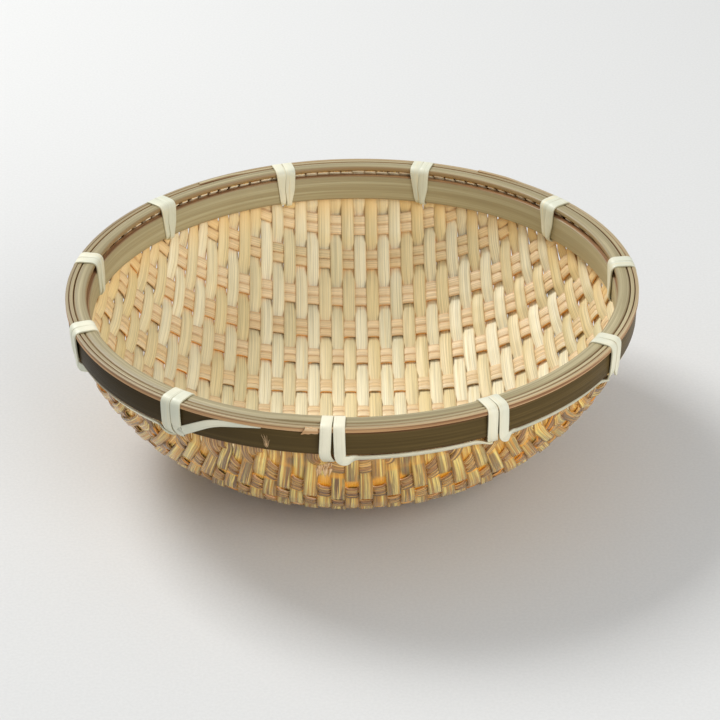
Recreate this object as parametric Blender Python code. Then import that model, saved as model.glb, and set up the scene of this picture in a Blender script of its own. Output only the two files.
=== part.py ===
"""Zaru bamboo basket: woven bowl, two rim hoops, three cap strips and the rim's lashing.

Units are metres, +Z is up, the bowl rests on z = 0 and its axis is the Z axis. The rim's parts are
concentric strips: the woven wall stands between an inner and an outer hoop, three cap strips lie on
top, and one strip of cane binds them at eleven stations with two turns at each.
"""
import math

import bpy
import numpy as np
from mathutils import Vector
from mathutils.geometry import delaunay_2d_cdt

# Sizes of the rim and the bowl
RIM_RADIUS = 0.1050
CAP_TOP_HEIGHT = 0.0660
CAP_THICKNESS = 0.0020
CAP_WIDE_WIDTH = 0.0046
CAP_MIDDLE_WIDTH = 0.0011
CAP_OUTER_WIDTH = 0.0012
CAP_SPLIT_GAP = 0.0004
SEAT_GAP = 0.0003
OUTER_HOOP_OVERHANG = 0.0007
HOOP_THICKNESS = 0.0024
OUTER_HOOP_HEIGHT = 0.0087
INNER_HOOP_HEIGHT = 0.0103
INNER_HOOP_DROP = 0.0015
WALL_THICKNESS = 0.0020
FLAT_RADIUS = 0.0180
SPLINT_PITCH = 0.00478
SPLINT_SHIFT = 0.0013
SPLINT_THICKNESS = 0.0008
SPLINT_SWING = 0.00046
SPLINT_BOW_LENGTH = 0.1410
ROW_WIDTH = 0.0078
ROW_BOW_RADIUS = 0.1400
ROW_BEND_LENGTH = 0.1175
ROW_STEP_LENGTH = 0.0009
PLAIN_BAND_HEIGHT = 0.0060
EDGE_CHAMFER = 0.0003
HOOP_LAP_LENGTH = 0.0240
CAP_LAP_LENGTH = 0.0100
LAP_TIP_THICKNESS = 0.0006

# Sizes of the lashing
STRIP_WIDTH = 0.0035
STRIP_THICKNESS = 0.0008
TURN_PITCH = 0.0045
TURN_CORNER_RADIUS = 0.0012
SLOT_CLEARANCE = 0.00035
SLOT_REACH = 0.0040
RUN_CLEARANCE = 0.0004
RUN_BEND_RADIUS = 0.0023
RUN_SPREAD_LENGTH = 0.0070
EXIT_BEND_RADIUS = 0.0026
EXIT_TWIST_LENGTH = 0.0040
EXIT_SETTLE_LENGTH = 0.0040
ARRIVAL_LENGTH = 0.0130
STRIP_DIVISION_GAP = 0.0004
LEAST_SELF_GAP = 0.0004
TAIL_RISE_LENGTH = 0.0160
TAIL_HELD_LENGTH = 0.0120
TAIL_TIP_WIDTH = 0.0010
MATCHING_LENGTH = 0.00001

# Shares of the turn pitch and of the strip's way back to the wall
EXIT_DRIFT_SHARE = 0.5
SLOT_SPAN_SHARE = 1.45
SLOT_SHIFT_SHARE = 0.40
TWIST_RETURN_SHARE = 0.6

# Shape of the bowl below the hoops: a superellipse, as exponents of its radius and of its depth
RADIUS_EXPONENT = 3.5
DEPTH_EXPONENT = 1.25

# Places of the crosswise rows, from the back to the front, as shares of the wall's arc
ROW_PLACE_SHARES = (
    0.900, 0.784, 0.655, 0.533, 0.414, 0.263, 0.111, -0.033,
    -0.148, -0.264, -0.379, -0.494, -0.601, -0.708, -0.814, -0.968,
)

# Slope of the rows, which lie a little nearer to the front on the right
ROW_SLOPE_SHARE = 0.02

# Most that a dip beside a row may reach, as a share of the way to the next row
DIP_REACH_SHARE = 0.42

# Angles in degrees, seen from above and from +X towards +Y; the front of the bowl is at 270
STATION_ANGLES = (233.6, 198.8, 168.0, 137.6, 105.5, 73.1, 37.6, 5.5, 331.0, 297.4, 265.8)
OUTER_HOOP_JOINT_ANGLE = 90.0
INNER_HOOP_JOINT_ANGLE = 183.0
CAP_WIDE_JOINT_ANGLE = 259.0
CAP_MIDDLE_JOINT_ANGLE = 120.0
CAP_OUTER_JOINT_ANGLE = 55.0
SMOOTH_ANGLE = 38.0

RING_SEGMENTS = 72
TABLE_STEPS = 800
LINE_STEPS = 240
CORNER_STEPS = 3
EXIT_STEPS = 4
TWIST_STEPS = 3
BEND_STEPS = 4
SPREAD_STEPS = 3
TAIL_STEPS = 4
RUN_STEP_ANGLE = 4.5

# Heights and radii that follow from the sizes
CAP_BOTTOM = CAP_TOP_HEIGHT - CAP_THICKNESS
WALL_TOP = CAP_BOTTOM - SEAT_GAP
OUTER_HOOP_TOP = WALL_TOP
OUTER_HOOP_BOTTOM = OUTER_HOOP_TOP - OUTER_HOOP_HEIGHT
INNER_HOOP_TOP = WALL_TOP - INNER_HOOP_DROP
INNER_HOOP_BOTTOM = INNER_HOOP_TOP - INNER_HOOP_HEIGHT
OUTER_HOOP_RADIUS = RIM_RADIUS - OUTER_HOOP_OVERHANG
WALL_RADIUS = OUTER_HOOP_RADIUS - HOOP_THICKNESS - SEAT_GAP
INNER_HOOP_RADIUS = WALL_RADIUS - WALL_THICKNESS - SEAT_GAP
INNER_HOOP_BORE = INNER_HOOP_RADIUS - HOOP_THICKNESS
HALF_STRIP = STRIP_THICKNESS / 2
STRIP_OUTER_RADIUS = RIM_RADIUS + SEAT_GAP + HALF_STRIP
STRIP_INNER_RADIUS = INNER_HOOP_BORE - SEAT_GAP - HALF_STRIP
STRIP_TOP_HEIGHT = CAP_TOP_HEIGHT + SEAT_GAP + HALF_STRIP
PASS_HEIGHT = INNER_HOOP_BOTTOM - SEAT_GAP - HALF_STRIP
RUN_RADIUS = WALL_RADIUS + RUN_CLEARANCE + HALF_STRIP
RUN_HEIGHT = OUTER_HOOP_BOTTOM - SEAT_GAP - STRIP_WIDTH / 2
PASS_CORNER_RADIUS = RUN_RADIUS + HALF_STRIP
RISE_HEIGHT = OUTER_HOOP_BOTTOM - HALF_STRIP
TAIL_FOOT_HEIGHT = OUTER_HOOP_BOTTOM + STRIP_WIDTH / 2


def clear_scene():
    """Remove every object of the scene."""
    for item in list(bpy.data.objects):
        bpy.data.objects.remove(item, do_unlink=True)


def material(name, colour, roughness):
    """Make one Principled material."""
    made = bpy.data.materials.new(name)
    made.use_nodes = True
    shader = made.node_tree.nodes["Principled BSDF"]
    shader.inputs["Base Color"].default_value = (*colour, 1.0)
    shader.inputs["Roughness"].default_value = roughness
    return made


def body(name, points, faces, finish):
    """Make one named object from points and faces, smooth with its creases kept."""
    mesh = bpy.data.meshes.new(name)
    mesh.from_pydata([tuple(point) for point in points], [], faces)
    mesh.validate()
    mesh.update()
    made = bpy.data.objects.new(name, mesh)
    bpy.context.scene.collection.objects.link(made)
    mesh.materials.append(finish)
    for face in mesh.polygons:
        face.use_smooth = True
    mesh.set_sharp_from_angle(angle=math.radians(SMOOTH_ANGLE))
    return made


def skinned(name, sections, finish):
    """Skin a row of sections, each a list of points in the same turn, and close both ends."""
    count = len(sections[0])
    points = [point for section in sections for point in section]
    faces = [tuple(reversed(range(count)))]
    for row in range(len(sections) - 1):
        low, high = row * count, (row + 1) * count
        for corner in range(count):
            after = (corner + 1) % count
            faces.append((low + corner, low + after, high + after, high + corner))
    last = (len(sections) - 1) * count
    faces.append(tuple(range(last, last + count)))
    return body(name, points, faces, finish)


def polar(radius, degrees, height):
    """Point at a radius, an angle and a height."""
    turn = math.radians(degrees)
    return np.array((radius * math.cos(turn), radius * math.sin(turn), height))


def chamfered(low_radius, high_radius, low_height, high_height, degrees):
    """Eight-sided section of a rim strip, seen along the ring."""
    cut = min(EDGE_CHAMFER, (high_radius - low_radius) / 4, (high_height - low_height) / 4)
    outline = (
        (low_radius + cut, low_height), (high_radius - cut, low_height),
        (high_radius, low_height + cut), (high_radius, high_height - cut),
        (high_radius - cut, high_height), (low_radius + cut, high_height),
        (low_radius, high_height - cut), (low_radius, low_height + cut),
    )
    return [polar(radius, degrees, height) for radius, height in reversed(outline)]


def lapped_ring(name, radii, heights, joint_angle, lap_length, lap_across, finish):
    """Make a bent strip whose two ends are thinned and lie on each other in a lap joint.

    The lap is across the radius for a hoop and across the height for a cap strip.
    """
    low_radius, high_radius = radii
    low_height, high_height = heights
    full = (high_radius - low_radius) if lap_across == "radius" else (high_height - low_height)
    lap = math.degrees(lap_length / high_radius)
    step = math.degrees(SEAT_GAP / high_radius)
    start, end = joint_angle - lap / 2, joint_angle + lap / 2
    thick = full - LAP_TIP_THICKNESS - SEAT_GAP
    grid = 360.0 / RING_SEGMENTS
    within = [index * grid for index in range(math.ceil(start / grid), math.ceil(end / grid))]
    within = [degrees for degrees in within if start + step < degrees < end - step]
    tapers = [(start, LAP_TIP_THICKNESS)]
    for degrees in within:
        share = (degrees - start) / (end - start)
        tapers.append((degrees, LAP_TIP_THICKNESS + (thick - LAP_TIP_THICKNESS) * share))
    tapers += [(end, thick), (end + step, thick), (end + 2 * step, full)]
    marks = [(degrees, depth, "upper") for degrees, depth in tapers]
    index = math.ceil((end + 3 * step) / grid)
    while index * grid < start + 360.0 - 3 * step:
        marks.append((index * grid, full, "upper"))
        index += 1
    tapers = [(start - 2 * step, full), (start - step, thick), (start, thick)]
    for degrees in within:
        share = (degrees - start) / (end - start)
        tapers.append((degrees, thick + (LAP_TIP_THICKNESS - thick) * share))
    tapers.append((end, LAP_TIP_THICKNESS))
    marks += [(degrees + 360.0, depth, "lower") for degrees, depth in tapers]
    sections = []
    for degrees, depth, side in marks:
        edges = [low_radius, high_radius, low_height, high_height]
        if lap_across == "radius":
            edges[0 if side == "upper" else 1] += (full - depth) * (1 if side == "upper" else -1)
        else:
            edges[2 if side == "upper" else 3] += (full - depth) * (1 if side == "upper" else -1)
        sections.append(chamfered(*edges, degrees))
    return skinned(name, sections, finish)


def wall_table():
    """Rows along the wall's inner face, each with its arc, radius, height, lean and rise.

    Lean and rise are the parts of the face's normal towards the axis and upward. The last row is
    where the wall turns upright.
    """
    share = np.sin(np.linspace(0.0, math.pi / 2, TABLE_STEPS + 1))
    radius = WALL_RADIUS * share
    height = INNER_HOOP_BOTTOM * (1.0 - (1.0 - share ** RADIUS_EXPONENT) ** (1.0 / DEPTH_EXPONENT))
    across, up = np.gradient(radius), np.gradient(height)
    step = np.hypot(across, up)
    lean, rise = up / step, across / step
    lean[-1], rise[-1] = 1.0, 0.0
    radius, height = radius - lean * WALL_THICKNESS, height + rise * WALL_THICKNESS
    arc = np.append(0.0, np.cumsum(np.hypot(np.diff(radius), np.diff(height))))
    return arc, radius, height, lean, rise


def on_wall(table, arc, degrees, depth):
    """Point at an arc and an angle, at a depth behind the wall's inner face."""
    arcs, radii, heights, leans, rises = table
    radius = np.interp(arc, arcs, radii) + depth * np.interp(arc, arcs, leans)
    height = np.interp(arc, arcs, heights) - depth * np.interp(arc, arcs, rises)
    return polar(radius, degrees, height)


def signed_radius(table, arc):
    """Radius at a signed arc from the axis."""
    return math.copysign(float(np.interp(abs(arc), table[0], table[1])), arc)


def splint_line(table, number):
    """One lengthwise splint seen from above, from rim to rim, with its way along the wall."""
    arcs, radii, heights = table[:3]
    middle = signed_radius(table, SPLINT_PITCH * number - SPLINT_SHIFT)
    y = radii[-1] * np.sin(np.linspace(-math.pi / 2, math.pi / 2, LINE_STEPS))
    x = middle * (1.0 - (middle * y / SPLINT_BOW_LENGTH ** 2) ** 2)
    within = np.hypot(x, y) < radii[-1]
    x, y = x[within], y[within]
    height = np.interp(np.hypot(x, y), radii, heights)
    step = np.sqrt(np.diff(x) ** 2 + np.diff(y) ** 2 + np.diff(height) ** 2)
    return x, y, np.append(0.0, np.cumsum(step))


def row_line(middle, x):
    """One crosswise row seen from above: its ends bend towards the front on both halves."""
    if middle > 0:
        bent = middle * np.sqrt(1.0 - (x / ROW_BOW_RADIUS) ** 2)
    else:
        bent = middle - (middle * x) ** 2 / ROW_BEND_LENGTH ** 3
    return bent - ROW_SLOPE_SHARE * x


def row_crossings(table, line):
    """Rows that one splint crosses, each with its number and its place on the splint's way."""
    x, y, way = line
    crossings = []
    for row, share in enumerate(ROW_PLACE_SHARES):
        middle = signed_radius(table, share * table[0][-1])
        gap = y - row_line(middle, x)
        index = int(np.argmax(gap > 0))
        if index > 0:
            part = gap[index - 1] / (gap[index - 1] - gap[index])
            crossings.append((row, way[index - 1] + part * (way[index] - way[index - 1])))
    return crossings


def weave_spots(table):
    """Spots of the weave, each with its arc, its angle and its depths on the inner and outer face.

    Where a splint crosses a row it lies on one face and the row's strands on the other. The face
    with the splint is high along it. The other face is high at the row and dips beside it.
    """
    high, low = SPLINT_SWING + SPLINT_THICKNESS / 2, SPLINT_THICKNESS / 2 - SPLINT_SWING
    edge = table[0][-1] - PLAIN_BAND_HEIGHT - ROW_STEP_LENGTH
    reach = int(edge / SPLINT_PITCH)
    spots = []
    for number in range(-reach, reach + 1):
        x, y, way = splint_line(table, number)
        crossings = row_crossings(table, (x, y, way))
        places = [way[-1]] + [place for row, place in crossings] + [way[0]]
        for (row, place), after, before in zip(crossings, places, places[2:]):
            beside = min(ROW_WIDTH / 2 + ROW_STEP_LENGTH, (after - place) * DIP_REACH_SHARE,
                         (place - before) * DIP_REACH_SHARE)
            for offset, rise in ((-beside, low), (0.0, high), (beside, low)):
                spot_x, spot_y = (np.interp(place + offset, way, values) for values in (x, y))
                arc = float(np.interp(math.hypot(spot_x, spot_y), table[1], table[0]))
                rises = (high, rise) if (number + row) % 2 == 0 else (rise, high)
                if arc < edge:
                    depths = (WALL_THICKNESS / 2 - rises[0], WALL_THICKNESS / 2 + rises[1])
                    spots.append((arc, math.degrees(math.atan2(spot_y, spot_x)), *depths))
    return spots


def woven_faces(table):
    """Inner and outer points of the weave and their triangles; the first points are its edge.

    Both faces have the same triangles, so the wall is nowhere thinner than at its points.
    """
    ring = table[0][-1] - PLAIN_BAND_HEIGHT
    turns = [column * 360.0 / RING_SEGMENTS for column in range(RING_SEGMENTS)]
    spots = [(ring, turn, 0.0, WALL_THICKNESS) for turn in turns] + weave_spots(table)
    edges = [(column, (column + 1) % RING_SEGMENTS) for column in range(RING_SEGMENTS)]
    inner = [on_wall(table, arc, turn, depth) for arc, turn, depth, other in spots]
    outer = [on_wall(table, arc, turn, other) for arc, turn, depth, other in spots]
    for point in outer:
        if math.hypot(point[0], point[1]) < FLAT_RADIUS:
            point[2] = 0.0
    plane = [Vector(polar(arc, turn, 0.0)[:2]) for arc, turn, depth, other in spots]
    laid = delaunay_2d_cdt(plane, edges, [], 0, MATCHING_LENGTH)
    came_from = [origins[0] for origins in laid[3]]
    triangles = [tuple(came_from[corner] for corner in face) for face in laid[2]]
    return inner, outer, triangles


def woven_bowl(finish):
    """Make the bowl as one closed shell: woven below, plain and upright between the hoops."""
    table = wall_table()
    inner, outer, triangles = woven_faces(table)
    points = inner + outer
    count = len(inner)
    faces = list(triangles)
    faces += [tuple(count + corner for corner in reversed(face)) for face in triangles]
    rings = [0]
    for depth in (0.0, WALL_THICKNESS):
        foot = on_wall(table, table[0][-1], 0.0, depth)
        levels = [(foot[0], INNER_HOOP_BOTTOM), (foot[0], WALL_TOP)]
        for radius, height in reversed(levels) if depth else levels:
            rings.append(len(points))
            points += [polar(radius, column * 360.0 / RING_SEGMENTS, height)
                       for column in range(RING_SEGMENTS)]
    rings.append(count)
    for low, high in zip(rings, rings[1:]):
        for column in range(RING_SEGMENTS):
            after = (column + 1) % RING_SEGMENTS
            faces.append((high + column, high + after, low + after, low + column))
    return body("woven_bowl", points, faces, finish)


def frame_at(degrees):
    """Outward and clockwise directions at an angle of the ring."""
    turn = math.radians(degrees)
    outward = np.array((math.cos(turn), math.sin(turn), 0.0))
    along = np.array((math.sin(turn), -math.cos(turn), 0.0))
    return outward, along


def cut_slots(bowl):
    """Cut one slot under the hoops at each station for the lashing's two passes."""
    width = STRIP_WIDTH + SLOT_SPAN_SHARE * TURN_PITCH + 2 * SLOT_CLEARANCE
    tall = STRIP_THICKNESS + 2 * SLOT_CLEARANCE
    for number, degrees in enumerate(STATION_ANGLES, start=1):
        outward, along = frame_at(degrees)
        middle = outward * (WALL_RADIUS - WALL_THICKNESS / 2) + along * SLOT_SHIFT_SHARE * TURN_PITCH
        points = []
        for side in (-1, 1):
            for across, rise in ((-1, -1), (1, -1), (1, 1), (-1, 1)):
                point = middle + outward * side * SLOT_REACH + along * across * width / 2
                points.append(point + np.array((0.0, 0.0, PASS_HEIGHT + rise * tall / 2)))
        faces = [(0, 1, 2, 3), (7, 6, 5, 4), (4, 5, 1, 0), (5, 6, 2, 1), (6, 7, 3, 2), (7, 4, 0, 3)]
        cutter = body(f"slot_cutter_{number:02d}", points, faces, bowl.data.materials[0])
        cutter.hide_render = True
        cutter.display_type = "WIRE"
        cut = bowl.modifiers.new(f"slot_{number:02d}", "BOOLEAN")
        cut.operation = "DIFFERENCE"
        cut.solver = "EXACT"
        cut.object = cutter


def rounded(corners, radius, steps):
    """Round the inner corners of an open path of radius and height."""
    path = [np.array(corners[0])]
    for before, corner, after in zip(corners, corners[1:], corners[2:]):
        before, corner, after = np.array(before), np.array(corner), np.array(after)
        first = (before - corner) / np.linalg.norm(before - corner)
        second = (after - corner) / np.linalg.norm(after - corner)
        half = math.acos(float(np.clip(first @ second, -1.0, 1.0))) / 2
        reach = radius / math.tan(half)
        centre = corner + (first + second) / np.linalg.norm(first + second) * radius / math.sin(half)
        begin, finish = corner + first * reach - centre, corner + second * reach - centre
        sweep = math.pi - 2 * half
        for step in range(steps + 1):
            share = step / steps
            mix = math.sin((1 - share) * sweep) * begin + math.sin(share * sweep) * finish
            path.append(centre + mix / math.sin(sweep))
    path.append(np.array(corners[-1]))
    return path


def eased(share):
    """Share that starts and ends gently."""
    return share * share * (3 - 2 * share)


def turn_rows(side, rises_from, after_pass, drift, settled):
    """One turn of the strip as rows of radius, way along the ring, height and lean of its width.

    The turn climbs the outer face, crosses the caps, falls inside and leaves under the hoops. Its
    way along the ring drifts by a share of the pitch from the inner hoop's foot to the settled row.
    """
    corners = [
        (STRIP_OUTER_RADIUS, rises_from),
        (STRIP_OUTER_RADIUS, STRIP_TOP_HEIGHT),
        (STRIP_INNER_RADIUS, STRIP_TOP_HEIGHT),
        (STRIP_INNER_RADIUS, PASS_HEIGHT),
    ] + after_pass
    path = rounded(corners, TURN_CORNER_RADIUS, CORNER_STEPS)
    foot = 1 + 3 * (CORNER_STEPS + 1) - 1
    length = [0.0] * len(path)
    for index in range(foot + 1, len(path)):
        length[index] = length[index - 1] + float(np.linalg.norm(path[index] - path[index - 1]))
    return [
        (radius, side + drift * TURN_PITCH * min(place / length[settled], 1.0), height, 0.0)
        for (radius, height), place in zip(path, length)
    ]


def first_turn(side, rises_from):
    """The first turn, whose pass ends where the second turn climbs the outer face."""
    after_pass = [
        (PASS_CORNER_RADIUS, PASS_HEIGHT),
        (STRIP_OUTER_RADIUS, RISE_HEIGHT),
        (STRIP_OUTER_RADIUS, RISE_HEIGHT + 2 * TURN_CORNER_RADIUS),
    ]
    return turn_rows(side, rises_from, after_pass, 1.0, -2)


def second_turn(side):
    """The second turn, whose pass ends just outside the woven wall."""
    after_pass = [(WALL_RADIUS + SEAT_GAP, PASS_HEIGHT)]
    rises_from = RISE_HEIGHT + 3 * TURN_CORNER_RADIUS
    return turn_rows(side, rises_from, after_pass, EXIT_DRIFT_SHARE, -1)


def exit_rows(begin):
    """Rows that bend and twist the strip from its pass into the run along the hoop's foot."""
    way_in = STRIP_INNER_RADIUS + TURN_CORNER_RADIUS
    start = math.atan2(EXIT_DRIFT_SHARE * TURN_PITCH, WALL_RADIUS + SEAT_GAP - way_in)
    radius, way = WALL_RADIUS + SEAT_GAP, begin
    arc = EXIT_BEND_RADIUS * (math.pi / 2 - start)
    rows = []
    for step in range(1, EXIT_STEPS + 1):
        share = step / EXIT_STEPS
        heading = start + (math.pi / 2 - start) * share
        spot = radius + EXIT_BEND_RADIUS * (math.sin(heading) - math.sin(start))
        along = way + EXIT_BEND_RADIUS * (math.cos(start) - math.cos(heading))
        rows.append((spot, along, arc * share / (arc + EXIT_TWIST_LENGTH)))
    edge, last = rows[-1][0], rows[-1][1]
    for step in range(1, TWIST_STEPS + 1):
        share = step / TWIST_STEPS
        spot = edge + (RUN_RADIUS - edge) * eased(share) * TWIST_RETURN_SHARE
        twist = (arc + EXIT_TWIST_LENGTH * share) / (arc + EXIT_TWIST_LENGTH)
        rows.append((spot, last + EXIT_TWIST_LENGTH * share, twist))
    turned = [
        (spot, along, PASS_HEIGHT + (RUN_HEIGHT - PASS_HEIGHT) * twist, 90.0 * twist)
        for spot, along, twist in rows
    ]
    last = turned[-1][1]
    turned.append((RUN_RADIUS, last + EXIT_SETTLE_LENGTH, RUN_HEIGHT, 90.0))
    return turned


def bend_rows(side, radius, base):
    """Rows that bend the strip within its own plane, from along the ring to upward."""
    rows = []
    for step in range(BEND_STEPS + 1):
        bend = 90.0 * step / BEND_STEPS
        turn = math.radians(bend)
        way = side - RUN_BEND_RADIUS * (1.0 - math.sin(turn))
        height = base + RUN_BEND_RADIUS * (1.0 - math.cos(turn))
        rows.append((radius, way, height, 90.0 - bend))
    return rows


def arrival(side):
    """Rows of the strip that comes along the hoop's lower edge and bends up its outer face."""
    begin = side - ARRIVAL_LENGTH
    rows = []
    for step in range(SPREAD_STEPS + 1):
        share = step / SPREAD_STEPS
        radius = RUN_RADIUS + (STRIP_OUTER_RADIUS - RUN_RADIUS) * eased(share)
        rows.append((radius, begin + RUN_SPREAD_LENGTH * share, RUN_HEIGHT, 90.0))
    return rows + bend_rows(side, STRIP_OUTER_RADIUS, RUN_HEIGHT)


def tail(side):
    """Rows of the strip's first end, held under the cap's edge and led down to the first turn."""
    radius = OUTER_HOOP_RADIUS + SEAT_GAP + HALF_STRIP
    high = CAP_BOTTOM - SEAT_GAP
    rows = []
    for step in range(TAIL_STEPS):
        share = step / TAIL_STEPS
        width = TAIL_TIP_WIDTH + (STRIP_WIDTH - TAIL_TIP_WIDTH) * share
        way = side - TAIL_RISE_LENGTH - TAIL_HELD_LENGTH * (1 - share)
        rows.append((radius, way, high - width / 2, 90.0, width))
    for step in range(TAIL_STEPS + 1):
        share = step / TAIL_STEPS
        top, foot = high - STRIP_WIDTH / 2, TAIL_FOOT_HEIGHT
        height = top + (foot - top) * eased(share)
        way = side - TAIL_RISE_LENGTH * (1 - share) - (RUN_BEND_RADIUS + STRIP_THICKNESS) * share
        rows.append((radius, way, height, 90.0, STRIP_WIDTH))
    return rows + bend_rows(side, radius, TAIL_FOOT_HEIGHT)


def strip_rows(number):
    """All rows of one length of the lashing, from its arrival to the end of its run."""
    first, second = -TURN_PITCH / 2, TURN_PITCH / 2
    here = STATION_ANGLES[number - 1]
    if number == 1:
        rows = tail(first)
        rows += first_turn(first, TAIL_FOOT_HEIGHT + 2 * RUN_BEND_RADIUS)
    else:
        rows = arrival(first)
        rows += first_turn(first, RUN_HEIGHT + 2 * RUN_BEND_RADIUS)
    rows += second_turn(second)
    if number == len(STATION_ANGLES):
        return rows
    rows += exit_rows(rows[-1][1])
    there = STATION_ANGLES[number]
    sweep = (here - there) % 360.0
    ends = math.radians(sweep) * RUN_RADIUS + (first - ARRIVAL_LENGTH) - STRIP_DIVISION_GAP
    begins = rows[-1][1]
    steps = max(2, int(round(math.degrees((ends - begins) / RUN_RADIUS) / RUN_STEP_ANGLE)))
    for step in range(1, steps + 1):
        rows.append((RUN_RADIUS, begins + (ends - begins) * step / steps, RUN_HEIGHT, 90.0))
    return rows


def placed(rows, station):
    """Points, width directions and widths of the rows at one station."""
    centres, widths, spans = [], [], []
    for row in rows:
        radius, way, height, lean = row[:4]
        degrees = station - math.degrees(way / RUN_RADIUS)
        outward, along = frame_at(degrees)
        centres.append(outward * radius + np.array((0.0, 0.0, height)))
        turn = math.radians(lean)
        widths.append(along * math.cos(turn) + np.array((0.0, 0.0, -math.sin(turn))))
        spans.append(row[4] if len(row) > 4 else STRIP_WIDTH)
    return np.array(centres), np.array(widths), np.array(spans)


def strip_body(name, centres, widths, spans, finish):
    """Make a flat strip along its centre line and print its least gap to itself."""
    ways = np.gradient(centres, axis=0)
    for index in range(1, len(centres) - 1):
        before = centres[index] - centres[index - 1]
        after = centres[index + 1] - centres[index]
        ways[index] = before / np.linalg.norm(before) + after / np.linalg.norm(after)
    ways /= np.linalg.norm(ways, axis=1)[:, None]
    faces_out = np.cross(ways, widths)
    faces_out /= np.linalg.norm(faces_out, axis=1)[:, None]
    sections = []
    for centre, wide, thick, span in zip(centres, widths, faces_out, spans):
        half = wide * span / 2
        rise = thick * HALF_STRIP
        sections.append([centre - half - rise, centre + half - rise, centre + half + rise,
                         centre - half + rise])
    made = skinned(name, sections, finish)
    least = least_gap(centres, widths, faces_out, spans)
    state = "clear" if least > LEAST_SELF_GAP else "TOO CLOSE"
    print(f"{name}: least gap to itself {least * 1000:.2f} mm, {state}")
    return made


def least_gap(centres, widths, thicks, spans):
    """Least gap between parts of a strip that lie more than two widths apart along it."""
    fine_centres, fine_places = [], []
    length = 0.0
    for index in range(len(centres) - 1):
        span = float(np.linalg.norm(centres[index + 1] - centres[index]))
        parts = max(1, int(span / (STRIP_THICKNESS / 2)))
        for part in range(parts):
            share = part / parts
            centre = centres[index] * (1 - share) + centres[index + 1] * share
            wide = widths[index] * (1 - share) + widths[index + 1] * share
            thick = thicks[index] * (1 - share) + thicks[index + 1] * share
            size = spans[index] * (1 - share) + spans[index + 1] * share
            for across in np.linspace(-0.5, 0.5, 7):
                for depth in (-0.5, 0.5):
                    fine_centres.append(centre + wide * across * size + thick * depth * STRIP_THICKNESS)
                    fine_places.append(length + span * share)
        length += span
    points, places = np.array(fine_centres), np.array(fine_places)
    least = 1.0
    for index in range(0, len(points), 3):
        apart = np.abs(places - places[index]) > 2.2 * STRIP_WIDTH
        if apart.any():
            least = min(least, float(np.linalg.norm(points[apart] - points[index], axis=1).min()))
    return least


def build():
    """Build every piece."""
    clear_scene()
    weave = material("bamboo_weave", (0.66, 0.50, 0.27), 0.55)
    bark_dark = material("bamboo_bark_dark", (0.17, 0.12, 0.05), 0.45)
    bark_pale = material("bamboo_bark_pale", (0.42, 0.38, 0.22), 0.50)
    cane = material("cane_strip", (0.76, 0.74, 0.60), 0.45)

    bowl = woven_bowl(weave)
    cut_slots(bowl)
    lapped_ring("inner_hoop", (INNER_HOOP_BORE, INNER_HOOP_RADIUS),
                (INNER_HOOP_BOTTOM, INNER_HOOP_TOP), INNER_HOOP_JOINT_ANGLE, HOOP_LAP_LENGTH,
                "radius", bark_pale)
    lapped_ring("outer_hoop", (OUTER_HOOP_RADIUS - HOOP_THICKNESS, OUTER_HOOP_RADIUS),
                (OUTER_HOOP_BOTTOM, OUTER_HOOP_TOP), OUTER_HOOP_JOINT_ANGLE, HOOP_LAP_LENGTH,
                "radius", bark_dark)
    edge = RIM_RADIUS
    for name, width, joint in (
        ("cap_strip_outer", CAP_OUTER_WIDTH, CAP_OUTER_JOINT_ANGLE),
        ("cap_strip_middle", CAP_MIDDLE_WIDTH, CAP_MIDDLE_JOINT_ANGLE),
        ("cap_strip_wide", CAP_WIDE_WIDTH, CAP_WIDE_JOINT_ANGLE),
    ):
        lapped_ring(name, (edge - width, edge), (CAP_BOTTOM, CAP_TOP_HEIGHT), joint,
                    CAP_LAP_LENGTH, "height", bark_pale)
        edge -= width + CAP_SPLIT_GAP
    for number, degrees in enumerate(STATION_ANGLES, start=1):
        strip_body(f"lashing_{number:02d}", *placed(strip_rows(number), degrees), cane)


build()
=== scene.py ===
"""Zaru, a round bamboo draining basket with a bound rim.

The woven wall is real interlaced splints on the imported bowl's middle surface. Two hoops clamp it,
split cap strips cover its cut ends, and one pale cane strip binds the rim at its stations.
"""

import enum
import logging
import math
from dataclasses import dataclass, field

import bpy
import numpy as np
from mathutils import Matrix, Vector


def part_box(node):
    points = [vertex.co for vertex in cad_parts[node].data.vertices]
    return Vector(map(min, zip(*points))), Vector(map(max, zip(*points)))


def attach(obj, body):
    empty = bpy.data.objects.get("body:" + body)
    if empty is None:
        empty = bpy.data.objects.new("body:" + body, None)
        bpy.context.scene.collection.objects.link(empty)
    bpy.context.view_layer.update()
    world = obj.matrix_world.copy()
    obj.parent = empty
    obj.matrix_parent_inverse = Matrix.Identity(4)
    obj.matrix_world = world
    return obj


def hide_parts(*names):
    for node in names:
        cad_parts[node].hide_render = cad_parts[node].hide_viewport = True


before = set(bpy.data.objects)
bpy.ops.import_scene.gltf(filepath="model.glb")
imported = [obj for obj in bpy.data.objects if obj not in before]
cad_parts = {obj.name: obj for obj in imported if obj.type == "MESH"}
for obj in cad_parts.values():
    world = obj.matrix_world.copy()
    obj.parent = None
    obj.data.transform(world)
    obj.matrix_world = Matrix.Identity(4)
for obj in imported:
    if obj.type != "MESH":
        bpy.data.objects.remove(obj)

LOG = logging.getLogger("zaru")
Colour = tuple[float, float, float, float]
Socket = bpy.types.NodeSocket
Material = bpy.types.Material
Piece = bpy.types.Object
Array = np.ndarray
Knots = list[tuple[float, float]]


def tint(red: int, green: int, blue: int) -> Colour:
    """Turn a screen colour, each part from 0 to 255, into the linear one that shaders use."""
    linear = [((v / 255 + 0.055) / 1.055) ** 2.4 if v > 10 else v / 3295 for v in (red, green, blue)]
    return (linear[0], linear[1], linear[2], 1.0)


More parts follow.
